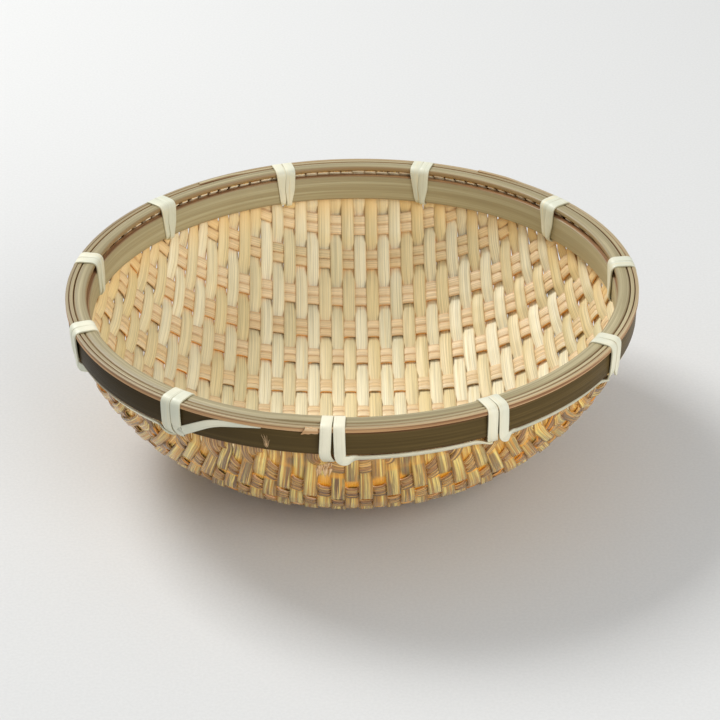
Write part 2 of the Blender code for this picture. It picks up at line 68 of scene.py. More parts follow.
def eased(share: Array) -> Array:
    """Clip a share to 0 and 1 and let it start and end gently."""
    share = np.clip(share, 0.0, 1.0)
    return share * share * (3 - 2 * share)


def unit(vectors: Array) -> Array:
    """Scale each row to length one."""
    return vectors / np.maximum(np.linalg.norm(vectors, axis=1, keepdims=True), 1e-12)


def across(vectors: Array, way: Array) -> Array:
    """Take the share along the way out of each row."""
    return vectors - way * np.einsum("ij,ij->i", vectors, way)[:, None]


def evenly(points: Array, step: float, *others: Array, more: int = 1) -> list[Array]:
    """Spread a line's points evenly, with the values that belong to them.

    Args:
        points: The line.
        step: The wanted distance.
        *others: Values at its points.
        more: How many points there are more than steps.

    Returns:
        The points, the values and the places along the line.
    """
    length = np.append(0, np.cumsum(np.linalg.norm(np.diff(points, axis=0), axis=1)))
    place = np.linspace(0, length[-1], int(length[-1] / step) + more)
    spread = []
    for values in (points, *others):
        columns = [np.interp(place, length, column) for column in np.atleast_2d(values.T)]
        spread.append(np.squeeze(np.stack(columns, -1)))
    return spread + [place]


def ring_of(node: str) -> tuple[float, float, float]:
    """Read a ring-shaped node's outer radius and its lowest and highest points from the frame."""
    low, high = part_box(node)
    return (float(high[0]) - float(low[0])) / 2, float(low[2]), float(high[2])


def shown(name: str, data: bpy.types.ID) -> Piece:
    """Put a new object with the given data into the scene."""
    piece = bpy.data.objects.new(name, data)
    bpy.context.scene.collection.objects.link(piece)
    return piece


class Facing(enum.Enum):
    """Where a rim strip's bark side looks."""

    OUTWARD = "outward"
    INWARD = "inward"
    UPWARD = "upward"


class Slot(enum.Enum):
    """The record's finishes."""

    WEAVE = "bamboo_weave"
    BARK_DARK = "bamboo_bark_dark"
    BARK_PALE = "bamboo_bark_pale"
    CANE = "cane_strip"


class Bench:
    """Short ways to place and join the nodes of one tree."""

    def __init__(self, tree: bpy.types.NodeTree) -> None:
        """Work on a tree."""
        self.tree = tree

    def plug(self, socket: Socket, value: object) -> None:
        """Join a socket to another one, or set its plain value."""
        if isinstance(value, Socket):
            self.tree.links.new(value, socket)
        else:
            socket.default_value = value

    def node(
        self, kind: str, settings: dict[str, object] | None = None, *values: object, **inputs: object
    ) -> bpy.types.Node:
        """Place a node.

        Args:
            kind: Its type.
            settings: Its own properties.
            *values: Its first inputs in order, as sockets or plain values.
            **inputs: Other inputs by name, with _ for a blank.

        Returns:
            The node.
        """
        node = self.tree.nodes.new(kind)
        for name, value in (settings or {}).items():
            setattr(node, name, value)
        for socket, value in zip(node.inputs, values):
            self.plug(socket, value)
        for name, value in inputs.items():
            self.plug(node.inputs[name.replace("_", " ")], value)
        return node

    def out(self, *given: object, **inputs: object) -> Socket:
        """Place a node as node() does and give its first output."""
        return self.node(*given, **inputs).outputs[0]

    def maths(self, kind: str, *values: object) -> Socket:
        """Place a Math node on one or two numbers."""
        return self.out("ShaderNodeMath", {"operation": kind}, *values)

    def times(self, first: object, second: object) -> Socket:
        """Multiply two numbers."""
        return self.maths("MULTIPLY", first, second)

    def plus(self, first: object, second: object) -> Socket:
        """Add two numbers."""
        return self.maths("ADD", first, second)


class ShaderBench(Bench):
    """Short ways to make one material."""

    def __init__(self, name: str) -> None:
        """Make an empty material with a Principled surface.

        Args:
            name: Its name.
        """
        self.material = bpy.data.materials.new(name)
        self.material.use_nodes = True
        super().__init__(self.material.node_tree)
        self.tree.nodes.clear()
        self.surface = self.node("ShaderNodeBsdfPrincipled")
        self.node("ShaderNodeOutputMaterial", None, self.surface.outputs["BSDF"])
        self.known: dict[str, Socket] = {}

    def dress(self, **values: object) -> None:
        """Join or set inputs of the surface by name, with _ for a blank."""
        for name, value in values.items():
            self.plug(self.surface.inputs[name.replace("_", " ")], value)

    def attribute(self, name: str) -> Socket:
        """Read one of the piece's own attributes."""
        if name not in self.known:
            self.known[name] = self.node("ShaderNodeAttribute", {"attribute_name": name}).outputs["Fac"]
        return self.known[name]

    def place(self) -> Socket:
        """Read the piece's Object coordinates."""
        return self.node("ShaderNodeTexCoord").outputs["Object"]

    def axis(self, number: int) -> Socket:
        """Give one share of the place: 0 sideways, 1 to the back, 2 up."""
        return self.node("ShaderNodeSeparateXYZ", None, self.place()).outputs[number]

    def vector(self, *shares: object) -> Socket:
        """Join three numbers into a vector."""
        return self.out("ShaderNodeCombineXYZ", None, *shares)

    def noise(self, vector: Socket, scale: float, detail: float = 2.0, rough: float = 0.55) -> Socket:
        """Place a noise pattern, whose value lies around one half."""
        return self.out("ShaderNodeTexNoise", Vector=vector, Scale=scale, Detail=detail, Roughness=rough)

    def grain(self, along: float, over: float, shift: object, detail: float = 2.0) -> Socket:
        """Place a noise drawn out along the strip, and shifted from that of the next strip."""
        spot = self.times(self.attribute("along"), along), self.times(self.attribute("across"), over)
        return self.noise(self.vector(*spot, shift), 1.0, detail, 0.62)

    def spread(self, value: object, low: float, high: float, start: float = 0.0, end: float = 1.0) -> Socket:
        """Stretch a value's range from low and high to start and end, smoothly clipped."""
        ends = {"From Min": low, "From Max": high, "To Min": start, "To Max": end}
        return self.out("ShaderNodeMapRange", {"interpolation_type": "SMOOTHSTEP"}, value, **ends)

    def edge(self, low: float, high: float, most: float = 1.0) -> Socket:
        """Share that rises towards the strip's two edges, from low to high off its middle."""
        return self.spread(self.maths("ABSOLUTE", self.attribute("across")), low, high, 0.0, most)

    def blend(self, share: object, first: object, second: object, kind: str = "MIX") -> Socket:
        """Mix two colours.

        Args:
            share: How much of the second one.
            first: The first colour or socket.
            second: The second colour or socket.
            kind: The blend type's name.

        Returns:
            The mixed colour.
        """
        node = self.node("ShaderNodeMix", {"data_type": "RGBA", "blend_type": kind}, share)
        self.plug(node.inputs[6], first)
        self.plug(node.inputs[7], second)
        return node.outputs[2]

    def layered(self, colour: object, *layers: tuple[Socket, Colour]) -> Socket:
        """Lay tints over a colour.

        Args:
            colour: The lowest colour.
            *layers: The share and the tint of each layer, from the lowest up.

        Returns:
            The mixed colour.
        """
        for share, laid in layers:
            colour = self.blend(share, colour, laid)
        return colour

    def shaded(self, colour: object, level: Socket) -> Socket:
        """Multiply a colour by a number."""
        return self.blend(1.0, colour, self.vector(level, level, level), "MULTIPLY")

    def finish(self, colour: Socket, rough: object, bump: Socket, depth: float) -> Material:
        """Join the last inputs to the surface.

        Args:
            colour: The colour.
            rough: The roughness.
            bump: The bump's height.
            depth: Its depth in metres.

        Returns:
            The material.
        """
        bumped = self.out("ShaderNodeBump", Strength=1.0, Distance=depth, Height=bump)
        self.dress(Base_Color=colour, Roughness=rough, Normal=bumped)
        return self.material


@dataclass(frozen=True)
class SplintFinish:
    """Split bamboo of the weave: its pith side looks into the bowl, its skin side out."""

    name: str
    half_width: float
    edge_glow: float
    # The edge share and the pith edge colour paint shade at the pith side's strip edges.
    edge_shade_share: float
    pith_pale: Colour
    pith_warm: Colour
    pith_green: Colour
    pith_edge_shade: Colour
    skin: Colour
    skin_pale: Colour
    skin_streak: Colour
    # Painted light: the glow colour and the emission strength stand in for light shining through the weave.
    glow: Colour
    rim_warm: Colour = tint(246, 206, 134)
    # Painted shade for the skin side's strip edges.
    skin_edge_shade: Colour = tint(98, 70, 42)
    # Painted light for the splint ends tucked under the cap.
    painted_end_light: Colour = tint(252, 240, 208)
    shine_through: float = 0.10
    gloss: float = 0.7
    rim_height: float = ring_of("inner_hoop")[1]
    hoop_height: float = ring_of("inner_hoop")[2]
    warm_reach: float = 0.013
    end_light_reach: float = 0.0008
    glow_reach: tuple[float, float] = (0.016, 0.002)
    seam: float = 0.00012

    def pith(self, bench: ShaderBench, fibre: Socket, band: Socket) -> Socket:
        """Colour the side that looks into the bowl.

        Args:
            bench: The material's bench.
            fibre: The fine lines.
            band: The broad lines.

        Returns:
            The colour.
        """
        tone, hue, up = bench.attribute("tone"), bench.attribute("hue"), bench.axis(2)
        cloud = bench.noise(bench.place(), 22.0)
        green = bench.times(bench.spread(cloud, 0.40, 0.64), bench.spread(hue, 0.30, 1.0, 0.0, 0.8))
        colour = bench.layered(
            self.pith_pale,
            (bench.spread(tone, 0.15, 1.0), self.pith_warm),
            (green, self.pith_green),
            (bench.spread(band, 0.52, 0.74, 0.0, 0.5), self.pith_warm),
        )
        colour = bench.shaded(colour, bench.spread(fibre, 0.35, 0.60, 0.77, 1.06))
        near = bench.spread(up, self.rim_height - self.warm_reach, self.rim_height, 0.0, 0.75)
        near = bench.times(near, bench.spread(tone, 0.0, 0.8, 0.35, 1.0))
        # Painted light: the splint ends tucked under the cap are painted near-white, lifting them out of the
        # cap's shade.
        cut = bench.spread(up, self.hoop_height - self.end_light_reach, self.hoop_height, 0.0, 0.9)
        # Painted shade: the pith darkens towards each strip's edges, where shade falls between neighbouring
        # strips and strands.
        edge = bench.times(self.edge(bench), self.edge_shade_share)
        return bench.layered(colour, (near, self.rim_warm), (cut, self.painted_end_light), (edge, self.pith_edge_shade))

    def skin_side(self, bench: ShaderBench, fibre: Socket, band: Socket) -> Socket:
        """Colour the side that looks out, with a painted glow, emitted too, standing in for light shining
        through where it dives under.

        Args:
            bench: The material's bench.
            fibre: The fine lines.
            band: The broad lines.

        Returns:
            The colour.
        """
        hue, dive, depth = (bench.attribute(name) for name in ("hue", "dive", "depth"))
        grey = bench.grain(30.0, 900.0, bench.plus(bench.times(hue, 23.0), 3.0), 3.0)
        grey = bench.times(bench.spread(grey, 0.46, 0.56), bench.spread(hue, 0.0, 1.0, 0.35, 1.0))
        spots, edge = bench.noise(bench.place(), 95.0, 1.0), self.edge(bench)
        # Painted light: an orange glow, fed to the emission as well, stands in for light shining through the
        # weave where the strip dives under and along its edges. It is weaker near the hoop.
        under = bench.times(bench.spread(dive, 0.20, 0.58, 0.0, 0.95), bench.spread(spots, 0.40, 0.52))
        low, high = (self.rim_height - reach for reach in self.glow_reach)
        under = bench.times(under, bench.spread(bench.axis(2), low, high, 1.0, 0.25))
        lit = bench.times(under, bench.spread(depth, self.seam, -self.seam))
        bench.dress(Emission_Color=bench.shaded(self.glow, lit), Emission_Strength=self.shine_through)
        edge_lit = bench.times(edge, bench.spread(spots, 0.38, 0.52, 0.0, self.edge_glow))
        return bench.layered(
            self.skin,
            (bench.spread(band, 0.42, 0.56), self.skin_pale),
            (bench.times(grey, 0.85), self.skin_streak),
            (bench.spread(fibre, 0.47, 0.36, 0.0, 0.55), self.skin_streak),
            # Painted shade: the skin side darkens towards each strip's edges, where shade falls between the
            # strips.
            (bench.times(edge, 0.80), self.skin_edge_shade),
            (bench.maths("MAXIMUM", under, edge_lit), self.glow),
        )

    def edge(self, bench: ShaderBench) -> Socket:
        """Share that rises towards the strip's two edges."""
        return bench.edge(self.half_width * 0.66, self.half_width * 0.98)

    def build(self) -> Material:
        """Make the material from the strip's own attributes.

        Returns:
            The material.
        """
        bench = ShaderBench(self.name)
        shift = bench.times(bench.attribute("tone"), 47.0)
        fibre = bench.grain(26.0, 3300.0, shift, 3.0)
        band = bench.grain(14.0, 1100.0, bench.plus(shift, 9.0))
        inside = bench.spread(bench.attribute("depth"), -self.seam, self.seam)
        skin, pith = self.skin_side(bench, fibre, band), self.pith(bench, fibre, band)
        rough = bench.spread(fibre, 0.3, 0.7, 0.60, 0.44)
        rough = bench.plus(rough, bench.spread(inside, 0.0, 1.0, -0.27, 0.0))
        bench.dress(Specular_IOR_Level=self.gloss)
        bump = bench.plus(fibre, bench.times(band, 0.8))
        return bench.finish(bench.blend(inside, skin, pith), rough, bump, 0.00014)


@dataclass(frozen=True)
class BarkFinish:
    """Bark side and cut edges of a thick bamboo strip."""

    name: str
    half_width: float
    thickness: float
    bark: Colour
    bark_light: Colour
    bark_dark: Colour
    line: Colour
    cut: Colour
    cut_dark: Colour
    cut_light: Colour
    contrast: float = 1.0
    line_reach: float = 0.0006
    bark_depth: float = 0.0003
    gloss: float = 0.5
    # Painted shade: how much the bark darkens towards the basket's left side.
    left_painted_shade: float = 0.0
    seam: float = 0.0001

    def build(self) -> Material:
        """Make the material from the strip's own attributes.

        Returns:
            The material.
        """
        bench, some = ShaderBench(self.name), self.contrast
        depth, tone = bench.attribute("depth"), bench.times(bench.attribute("tone"), 31.0)
        fibre = bench.grain(15.0, 2900.0, bench.plus(tone, bench.times(depth, 2600.0)), 3.0)
        band = bench.grain(6.0, 620.0, bench.plus(tone, bench.times(depth, 500.0)), 3.0)
        cloud, speck = bench.noise(bench.place(), 17.0, 3.0), bench.grain(220.0, 1500.0, tone)
        light = bench.times(bench.spread(cloud, 0.38, 0.66, 0.1, some), bench.spread(band, 0.46, 0.66))
        edge = bench.edge(self.half_width - self.line_reach, self.half_width - self.seam)
        bark = bench.layered(
            self.bark,
            (bench.spread(band, 0.36, 0.66, 0.6 * some, 0.0), self.bark_dark),
            (light, self.bark_light),
            (bench.spread(speck, 0.70, 0.78, 0.0, 0.4 * some), self.bark_light),
            (bench.spread(fibre, 0.45, 0.33, 0.0, 0.5 * some), self.bark_dark),
            (bench.spread(fibre, 0.56, 0.68, 0.0, 0.4 * some), self.bark_light),
            (bench.times(edge, bench.spread(cloud, 0.35, 0.6, 0.3, 0.85)), self.line),
        )
        cut = bench.layered(
            self.cut,
            (bench.spread(band, 0.38, 0.62), self.cut_dark),
            (bench.spread(fibre, 0.50, 0.66, 0.0, 0.8), self.cut_light),
            (bench.spread(fibre, 0.42, 0.30, 0.0, 0.7), self.cut_dark),
        )
        # Painted shade: the bark is darkened towards the basket's left side, at negative x.
        bark = bench.shaded(bark, bench.spread(bench.axis(0), -0.10, -0.005, 1 - self.left_painted_shade, 1.0))
        start = self.thickness / 2 - self.bark_depth
        faced = bench.spread(depth, start - self.seam, start + self.seam)
        rough = bench.spread(bench.plus(fibre, faced), 0.4, 1.6, 0.72, 0.42)
        bench.dress(Specular_IOR_Level=self.gloss)
        return bench.finish(bench.blend(faced, cut, bark), rough, bench.plus(fibre, band), 0.00010)


@dataclass(frozen=True)
class CaneFinish:
    """Pale split cane of the lashing, with fine lengthwise lines."""

    name: str
    pale: Colour
    cool: Colour
    straw: Colour
    line: Colour
    half_width: float = 0.0019
    line_reach: float = 0.0003

    def build(self) -> Material:
        """Make the material from the strip's own attributes.

        Returns:
            The material.
        """
        bench = ShaderBench(self.name)
        fibre, band = bench.grain(20.0, 3600.0, 4.0, 3.0), bench.grain(22.0, 800.0, 2.0)
        colour = bench.layered(
            self.pale,
            (bench.spread(bench.noise(bench.place(), 45.0), 0.36, 0.66), self.cool),
            (bench.spread(band, 0.54, 0.76, 0.0, 0.6), self.straw),
            (bench.spread(fibre, 0.44, 0.32, 0.0, 0.4), self.line),
            (bench.edge(self.half_width - self.line_reach, self.half_width, 0.5), self.line),
        )
        rough = bench.spread(fibre, 0.3, 0.7, 0.52, 0.36)
        return bench.finish(colour, rough, bench.plus(fibre, band), 0.00009)


class GeometryBench(Bench):
    """Short ways to make one Geometry Nodes tree."""

    KINDS = {float: "Float", int: "Int", tuple: "Vector", type(None): "Material"}

    def __init__(self, name: str, inputs: dict[str, object]) -> None:
        """Make a tree.

        Args:
            name: Its name.
            inputs: Its inputs' names, each with a value that tells the input's kind.
        """
        super().__init__(bpy.data.node_groups.new(name, "GeometryNodeTree"))
        face = self.tree.interface
        face.new_socket("Geometry", in_out="INPUT", socket_type="NodeSocketGeometry")
        for label, value in inputs.items():
            face.new_socket(label, in_out="INPUT", socket_type=f"NodeSocket{self.KINDS[type(value)]}")
        face.new_socket("Geometry", in_out="OUTPUT", socket_type="NodeSocketGeometry")
        self.given = self.tree.nodes.new("NodeGroupInput").outputs

    def scaled(self, vector: object, share: object) -> Socket:
        """Scale a vector."""
        return self.out("ShaderNodeVectorMath", {"operation": "SCALE"}, vector, Scale=share)

    def added(self, first: object, second: object) -> Socket:
        """Add two vectors."""
        return self.out("ShaderNodeVectorMath", {"operation": "ADD"}, first, second)

    def named(self, name: str, kind: str = "FLOAT") -> Socket:
        """Read a named attribute."""
        return self.out("GeometryNodeInputNamedAttribute", {"data_type": kind}, Name=name)

    def noise(self, vector: Socket, **inputs: object) -> bpy.types.Node:
        """Place a noise that changes with its W too."""
        settings = {"noise_dimensions": "4D"}
        return self.node("ShaderNodeTexNoise", settings, Vector=vector, Detail=1.0, **inputs)

    def stored(self, shape: Socket, name: str, value: object) -> Socket:
        """Store a number on each point under a name."""
        settings = {"data_type": "FLOAT", "domain": "POINT"}
        return self.out("GeometryNodeStoreNamedAttribute", settings, Geometry=shape, Name=name, Value=value)

    def captured(self, shape: Socket, kind: str, label: str, value: Socket) -> tuple[Socket, Socket]:
        """Capture a value on a shape's points.

        Args:
            shape: The shape.
            kind: The value's type.
            label: Its name.
            value: The value.

        Returns:
            The shape and the captured value.
        """
        node = self.node("GeometryNodeCaptureAttribute", None, shape)
        node.capture_items.new(kind, label)
        self.plug(node.inputs[label], value)
        return node.outputs["Geometry"], node.outputs[label]

    def close(self, shape: Socket) -> None:
        """End the tree in Realize Instances and Set Material."""
        smooth = self.out("GeometryNodeSetShadeSmooth", Geometry=shape)
        real = self.out("GeometryNodeRealizeInstances", Geometry=smooth)
        done = self.out("GeometryNodeSetMaterial", Geometry=real, Material=self.given["Finish"])
        self.node("NodeGroupOutput", None, done)


def grown(name: str, seed_mesh: bpy.types.Mesh, tree: bpy.types.NodeTree, inputs: dict[str, object]) -> Piece:
    """Run a Geometry Nodes tree on a mesh and keep the result as a plain mesh.

    Args:
        name: The piece's name.
        seed_mesh: What the tree works on.
        tree: The tree.
        inputs: Its inputs by name.

    Returns:
        The piece, with no modifier left on it.
    """
    piece = shown(name, seed_mesh)
    modifier = piece.modifiers.new("grow", "NODES")
    modifier.node_group = tree
    for item in tree.interface.items_tree:
        if item.item_type == "SOCKET" and item.in_out == "INPUT" and item.name in inputs:
            modifier[item.identifier] = inputs[item.name]
    bpy.context.view_layer.update()
    depsgraph = bpy.context.evaluated_depsgraph_get()
    kept = {"preserve_all_data_layers": True, "depsgraph": depsgraph}
    mesh = bpy.data.meshes.new_from_object(piece.evaluated_get(depsgraph), **kept)
    piece.modifiers.remove(modifier)
    piece.data = mesh
    mesh.name = name
    bpy.data.meshes.remove(seed_mesh)
    for spare in ("face", "side", "wide", "thick"):
        if spare in mesh.attributes:
            mesh.attributes.remove(mesh.attributes[spare])
    turn_out(mesh)
    return piece


def turn_out(mesh: bpy.types.Mesh) -> None:
    """Turn the faces of a closed mesh outwards, which its signed volume tells.

    Args:
        mesh: The mesh.
    """
    mesh.calc_loop_triangles()
    points = np.empty(len(mesh.vertices) * 3, np.float32)
    mesh.vertices.foreach_get("co", points)
    corners = np.empty(len(mesh.loop_triangles) * 3, np.int32)
    mesh.loop_triangles.foreach_get("vertices", corners)
    a, b, c = points.reshape(-1, 3).astype(float)[corners.reshape(-1, 3)].transpose(1, 0, 2)
    if np.einsum("ij,ij->i", a, np.cross(b, c)).sum() < 0:
        mesh.flip_normals()


@dataclass
class StripPath:
    """A strip's middle line with the way its bark side faces and its width lies.

    Args:
        points: Middle points in metres.
        face: Unit vectors out of the strip's first side.
        side: Unit vectors along its width.
        wide: Share of the nominal width at each point.
        thick: Share of the nominal thickness at each point.
        dive: How far the strip lies inside the wall's middle at each point, from 0 to 1.
    """

    points: Array
    face: Array
    side: Array
    wide: Array
    thick: Array
    dive: Array

    def mesh(self, name: str) -> bpy.types.Mesh:
        """Make the line's mesh, which carries the rest as attributes.

        Args:
            name: Its name.

        Returns:
            The mesh.
        """
        mesh = bpy.data.meshes.new(name)
        mesh.from_pydata(self.points.tolist(), [(i, i + 1) for i in range(len(self.points) - 1)], [])
        for label in ("face", "side", "wide", "thick", "dive"):
            values = getattr(self, label).astype(np.float32)
            kind, key = ("FLOAT_VECTOR", "vector") if values.ndim > 1 else ("FLOAT", "value")
            mesh.attributes.new(label, kind, "POINT").data.foreach_set(key, values.ravel())
        return mesh


class StripLoom:
    """Geometry Nodes tree that draws a flat strip with rounded edges along a path."""

    NOMINAL = {
        "Width": 0.0, "Thickness": 0.0, "Edge Radius": 0.0, "Crown": 0.0, "Waver": 0.0, "Waver Scale": 25.0,
        "Tone": 0.5, "Hue": 0.5, "Edge Steps": 1, "Face Cuts": 0, "Seed": 1, "Finish": None,
    }

    def __init__(self) -> None:
        """Build the tree."""
        bench = GeometryBench("strip_along_path", self.NOMINAL)
        given, place = bench.given, bench.out("GeometryNodeInputPosition")
        line = bench.out("GeometryNodeMeshToCurve", Mesh=given["Geometry"])
        line, middle = bench.captured(line, "VECTOR", "Middle", place)
        length = bench.node("GeometryNodeSplineParameter").outputs["Length"]
        line, along = bench.captured(line, "FLOAT", "Along", length)
        section, spot = self.section(bench, place)
        shape = bench.out("GeometryNodeCurveToMesh", Curve=line, Profile_Curve=section, Fill_Caps=True)
        over, depth, _ = bench.node("ShaderNodeSeparateXYZ", None, spot).outputs
        kept = {"along": along, "across": over, "depth": depth, "tone": given["Tone"], "hue": given["Hue"]}
        for name, value in kept.items():
            shape = bench.stored(shape, name, value)
        share = bench.maths("DIVIDE", bench.times(over, 2.0), given["Width"])
        raised = bench.times(bench.maths("SUBTRACT", 1.0, bench.times(share, share)), given["Crown"])
        raised = bench.times(raised, bench.maths("GREATER_THAN", depth, 0.0))
        noise = bench.noise(middle, W=given["Seed"], Scale=given["Waver Scale"])
        sway = bench.times(bench.maths("SUBTRACT", noise.outputs["Fac"], 0.5), given["Waver"])
        out = bench.plus(bench.times(depth, bench.named("thick")), raised)
        off = bench.plus(bench.times(over, bench.named("wide")), sway)
        aside = bench.scaled(bench.named("side", "FLOAT_VECTOR"), off)
        lifted = bench.scaled(bench.named("face", "FLOAT_VECTOR"), out)
        spot = bench.added(middle, bench.added(aside, lifted))
        bench.close(bench.out("GeometryNodeSetPosition", Geometry=shape, Position=spot))
        self.tree = bench.tree

    def section(self, bench: GeometryBench, place: Socket) -> tuple[Socket, Socket]:
        """Draw the strip's cross-section.

        Args:
            bench: The tree's bench.
            place: Reads a point's place.

        Returns:
            The section and the place in it of each of its points.
        """
        given, kind = bench.given, "GeometryNodeCurvePrimitiveQuadrilateral"
        curve = bench.out(kind, {"mode": "RECTANGLE"}, Width=given["Width"], Height=given["Thickness"])
        soft = {"Curve": curve, "Count": given["Edge Steps"], "Radius": given["Edge Radius"]}
        curve = bench.out("GeometryNodeFilletCurve", {"mode": "POLY"}, **soft)
        curve = bench.out("GeometryNodeSubdivideCurve", Curve=curve, Cuts=given["Face Cuts"])
        return bench.captured(curve, "VECTOR", "Spot", place)

    def strip(self, name: str, path: StripPath, **sizes: object) -> Piece:
        """Draw a strip, with the tree's inputs by name and _ for a blank."""
        inputs = self.NOMINAL | {key.replace("_", " "): value for key, value in sizes.items()}
        return grown(name, path.mesh(name), self.tree, inputs)


class SliverTree:
    """Geometry Nodes tree that scatters thin bamboo slivers in a fan."""

    NOMINAL = {
        "Count": 1, "Spread": (0.0, 0.0, 0.0), "Length": 0.0, "Girth": 0.0, "Fan": (0.0, 0.0, 0.0),
        "Curl": 0.0, "Seed": 1, "Finish": None,
    }

    def __init__(self) -> None:
        """Build the tree."""
        bench = GeometryBench("sliver_fan", self.NOMINAL)
        given = bench.given
        spot = self.chance(bench, "FLOAT_VECTOR", bench.scaled(given["Spread"], -1.0), given["Spread"], 0.0)
        points = bench.out("GeometryNodePoints", Count=given["Count"], Position=spot)
        ends = {"Radius_Top": 0.00003, "Radius_Bottom": given["Girth"], "Depth": given["Length"]}
        sliver = bench.out("GeometryNodeMeshCone", Vertices=4, Side_Segments=4, **ends)
        turn = self.chance(bench, "FLOAT_VECTOR", bench.scaled(given["Fan"], -1.0), given["Fan"], 1.0)
        turn = bench.out("FunctionNodeEulerToRotation", Euler=turn)
        placed = {"Points": points, "Instance": sliver, "Rotation": turn}
        size = self.chance(bench, "FLOAT", 0.35, 1.1, 2.0)
        fan = bench.out("GeometryNodeInstanceOnPoints", Scale=size, **placed)
        real = bench.out("GeometryNodeRealizeInstances", Geometry=fan)
        noise = bench.noise(bench.out("GeometryNodeInputPosition"), W=given["Seed"], Scale=420.0)
        centre = bench.added(noise.outputs["Color"], (-0.5, -0.5, -0.5))
        bend = bench.scaled(centre, bench.times(given["Length"], given["Curl"]))
        real = bench.out("GeometryNodeSetPosition", Geometry=real, Offset=bend)
        bench.close(bench.stored(real, "across", bench.times(noise.outputs["Fac"], 0.002)))
        self.tree = bench.tree

    def chance(self, bench: GeometryBench, kind: str, low: object, high: object, shift: float) -> Socket:
        """Place a random value.

        Args:
            bench: The tree's bench.
            kind: The value's type.
            low: Its least value.
            high: Its greatest value.
            shift: What sets it apart from the others of the same seed.

        Returns:
            The value.
        """
        node = bench.node("FunctionNodeRandomValue", {"data_type": kind})
        sockets = [socket for socket in node.inputs if socket.enabled and socket.name in ("Min", "Max")]
        for socket, value in zip(sockets, (low, high)):
            bench.plug(socket, value)
        bench.plug(node.inputs["Seed"], bench.plus(bench.given["Seed"], shift))
        return next(socket for socket in node.outputs if socket.enabled)


@dataclass
class BowlWall:
    """The woven wall's inner face, a bowl of revolution that stands upright between the hoops.

    A place on it is its arc from the axis and its angle, so the upright part is only more arc.
    """

    outer_radius: float = ring_of("woven_bowl")[0]
    foot_height: float = ring_of("inner_hoop")[1]
    top_height: float = ring_of("woven_bowl")[2]
    thickness: float = 0.0020
    upright: float = 0.02
    radius_exponent: float = 3.5
    depth_exponent: float = 1.25
    steps: int = 4001
    arcs: Array = field(init=False)
    radii: Array = field(init=False)
    heights: Array = field(init=False)
    lean: Array = field(init=False)
    rise: Array = field(init=False)
    foot_arc: float = field(init=False)
    rim: float = field(init=False)

    def __post_init__(self) -> None:
        """Tabulate the profile by its arc length."""
        share = np.sin(np.linspace(0, math.pi / 2, self.steps))
        radius = self.outer_radius * share
        height = self.foot_height * (1 - (1 - share**self.radius_exponent) ** (1 / self.depth_exponent))
        out, up = np.gradient(radius), np.gradient(height)
        step = np.hypot(out, up)
        lean, rise = up / step, out / step
        lean[-1], rise[-1] = 1.0, 0.0
        radius, height = radius - lean * self.thickness, height + rise * self.thickness
        self.radii, self.heights = np.append(radius, radius[-1]), np.append(height, height[-1] + self.upright)
        self.lean, self.rise = np.append(lean, 1.0), np.append(rise, 0.0)
        self.arcs = np.append(0, np.cumsum(np.hypot(np.diff(self.radii), np.diff(self.heights))))
        self.foot_arc, self.rim = float(self.arcs[-2]), float(self.radii[-1])

    def at(self, arc: Array) -> list[Array]:
        """Radius, height, lean and rise of the face at arcs."""
        return [np.interp(arc, self.arcs, row) for row in (self.radii, self.heights, self.lean, self.rise)]

    def radius_at(self, arc: float) -> float:
        """Signed radius at a signed arc from the axis."""
        return math.copysign(float(self.at(abs(arc))[0]), arc)

    def arc_at(self, radius: Array) -> Array:
        """Arc at a radius below the upright part."""
        return np.interp(radius, self.radii[:-1], self.arcs[:-1])

    def points(self, arc: Array, angle: Array) -> tuple[Array, Array]:
        """Place arcs and angles on the inner face.

        Args:
            arc: Arcs from the axis.
            angle: Angles in radians.

        Returns:
            The points and their unit normals, which look into the bowl.
        """
        radius, height, lean, rise = self.at(arc)
        x, y = np.cos(angle), np.sin(angle)
        normals = unit(np.stack([-lean * x, -lean * y, rise], -1))
        return np.stack([radius * x, radius * y, height], -1), normals

    def project(self, spots: Array, arc: Array) -> tuple[Array, Array]:
        """Find the arcs and angles of spots just off the face, moved from the given arcs."""
        radius, height, lean, rise = self.at(arc)
        off, above = np.hypot(spots[:, 0], spots[:, 1]) - radius, spots[:, 2] - height
        return arc + off * rise + above * lean, np.arctan2(spots[:, 1], spots[:, 0])


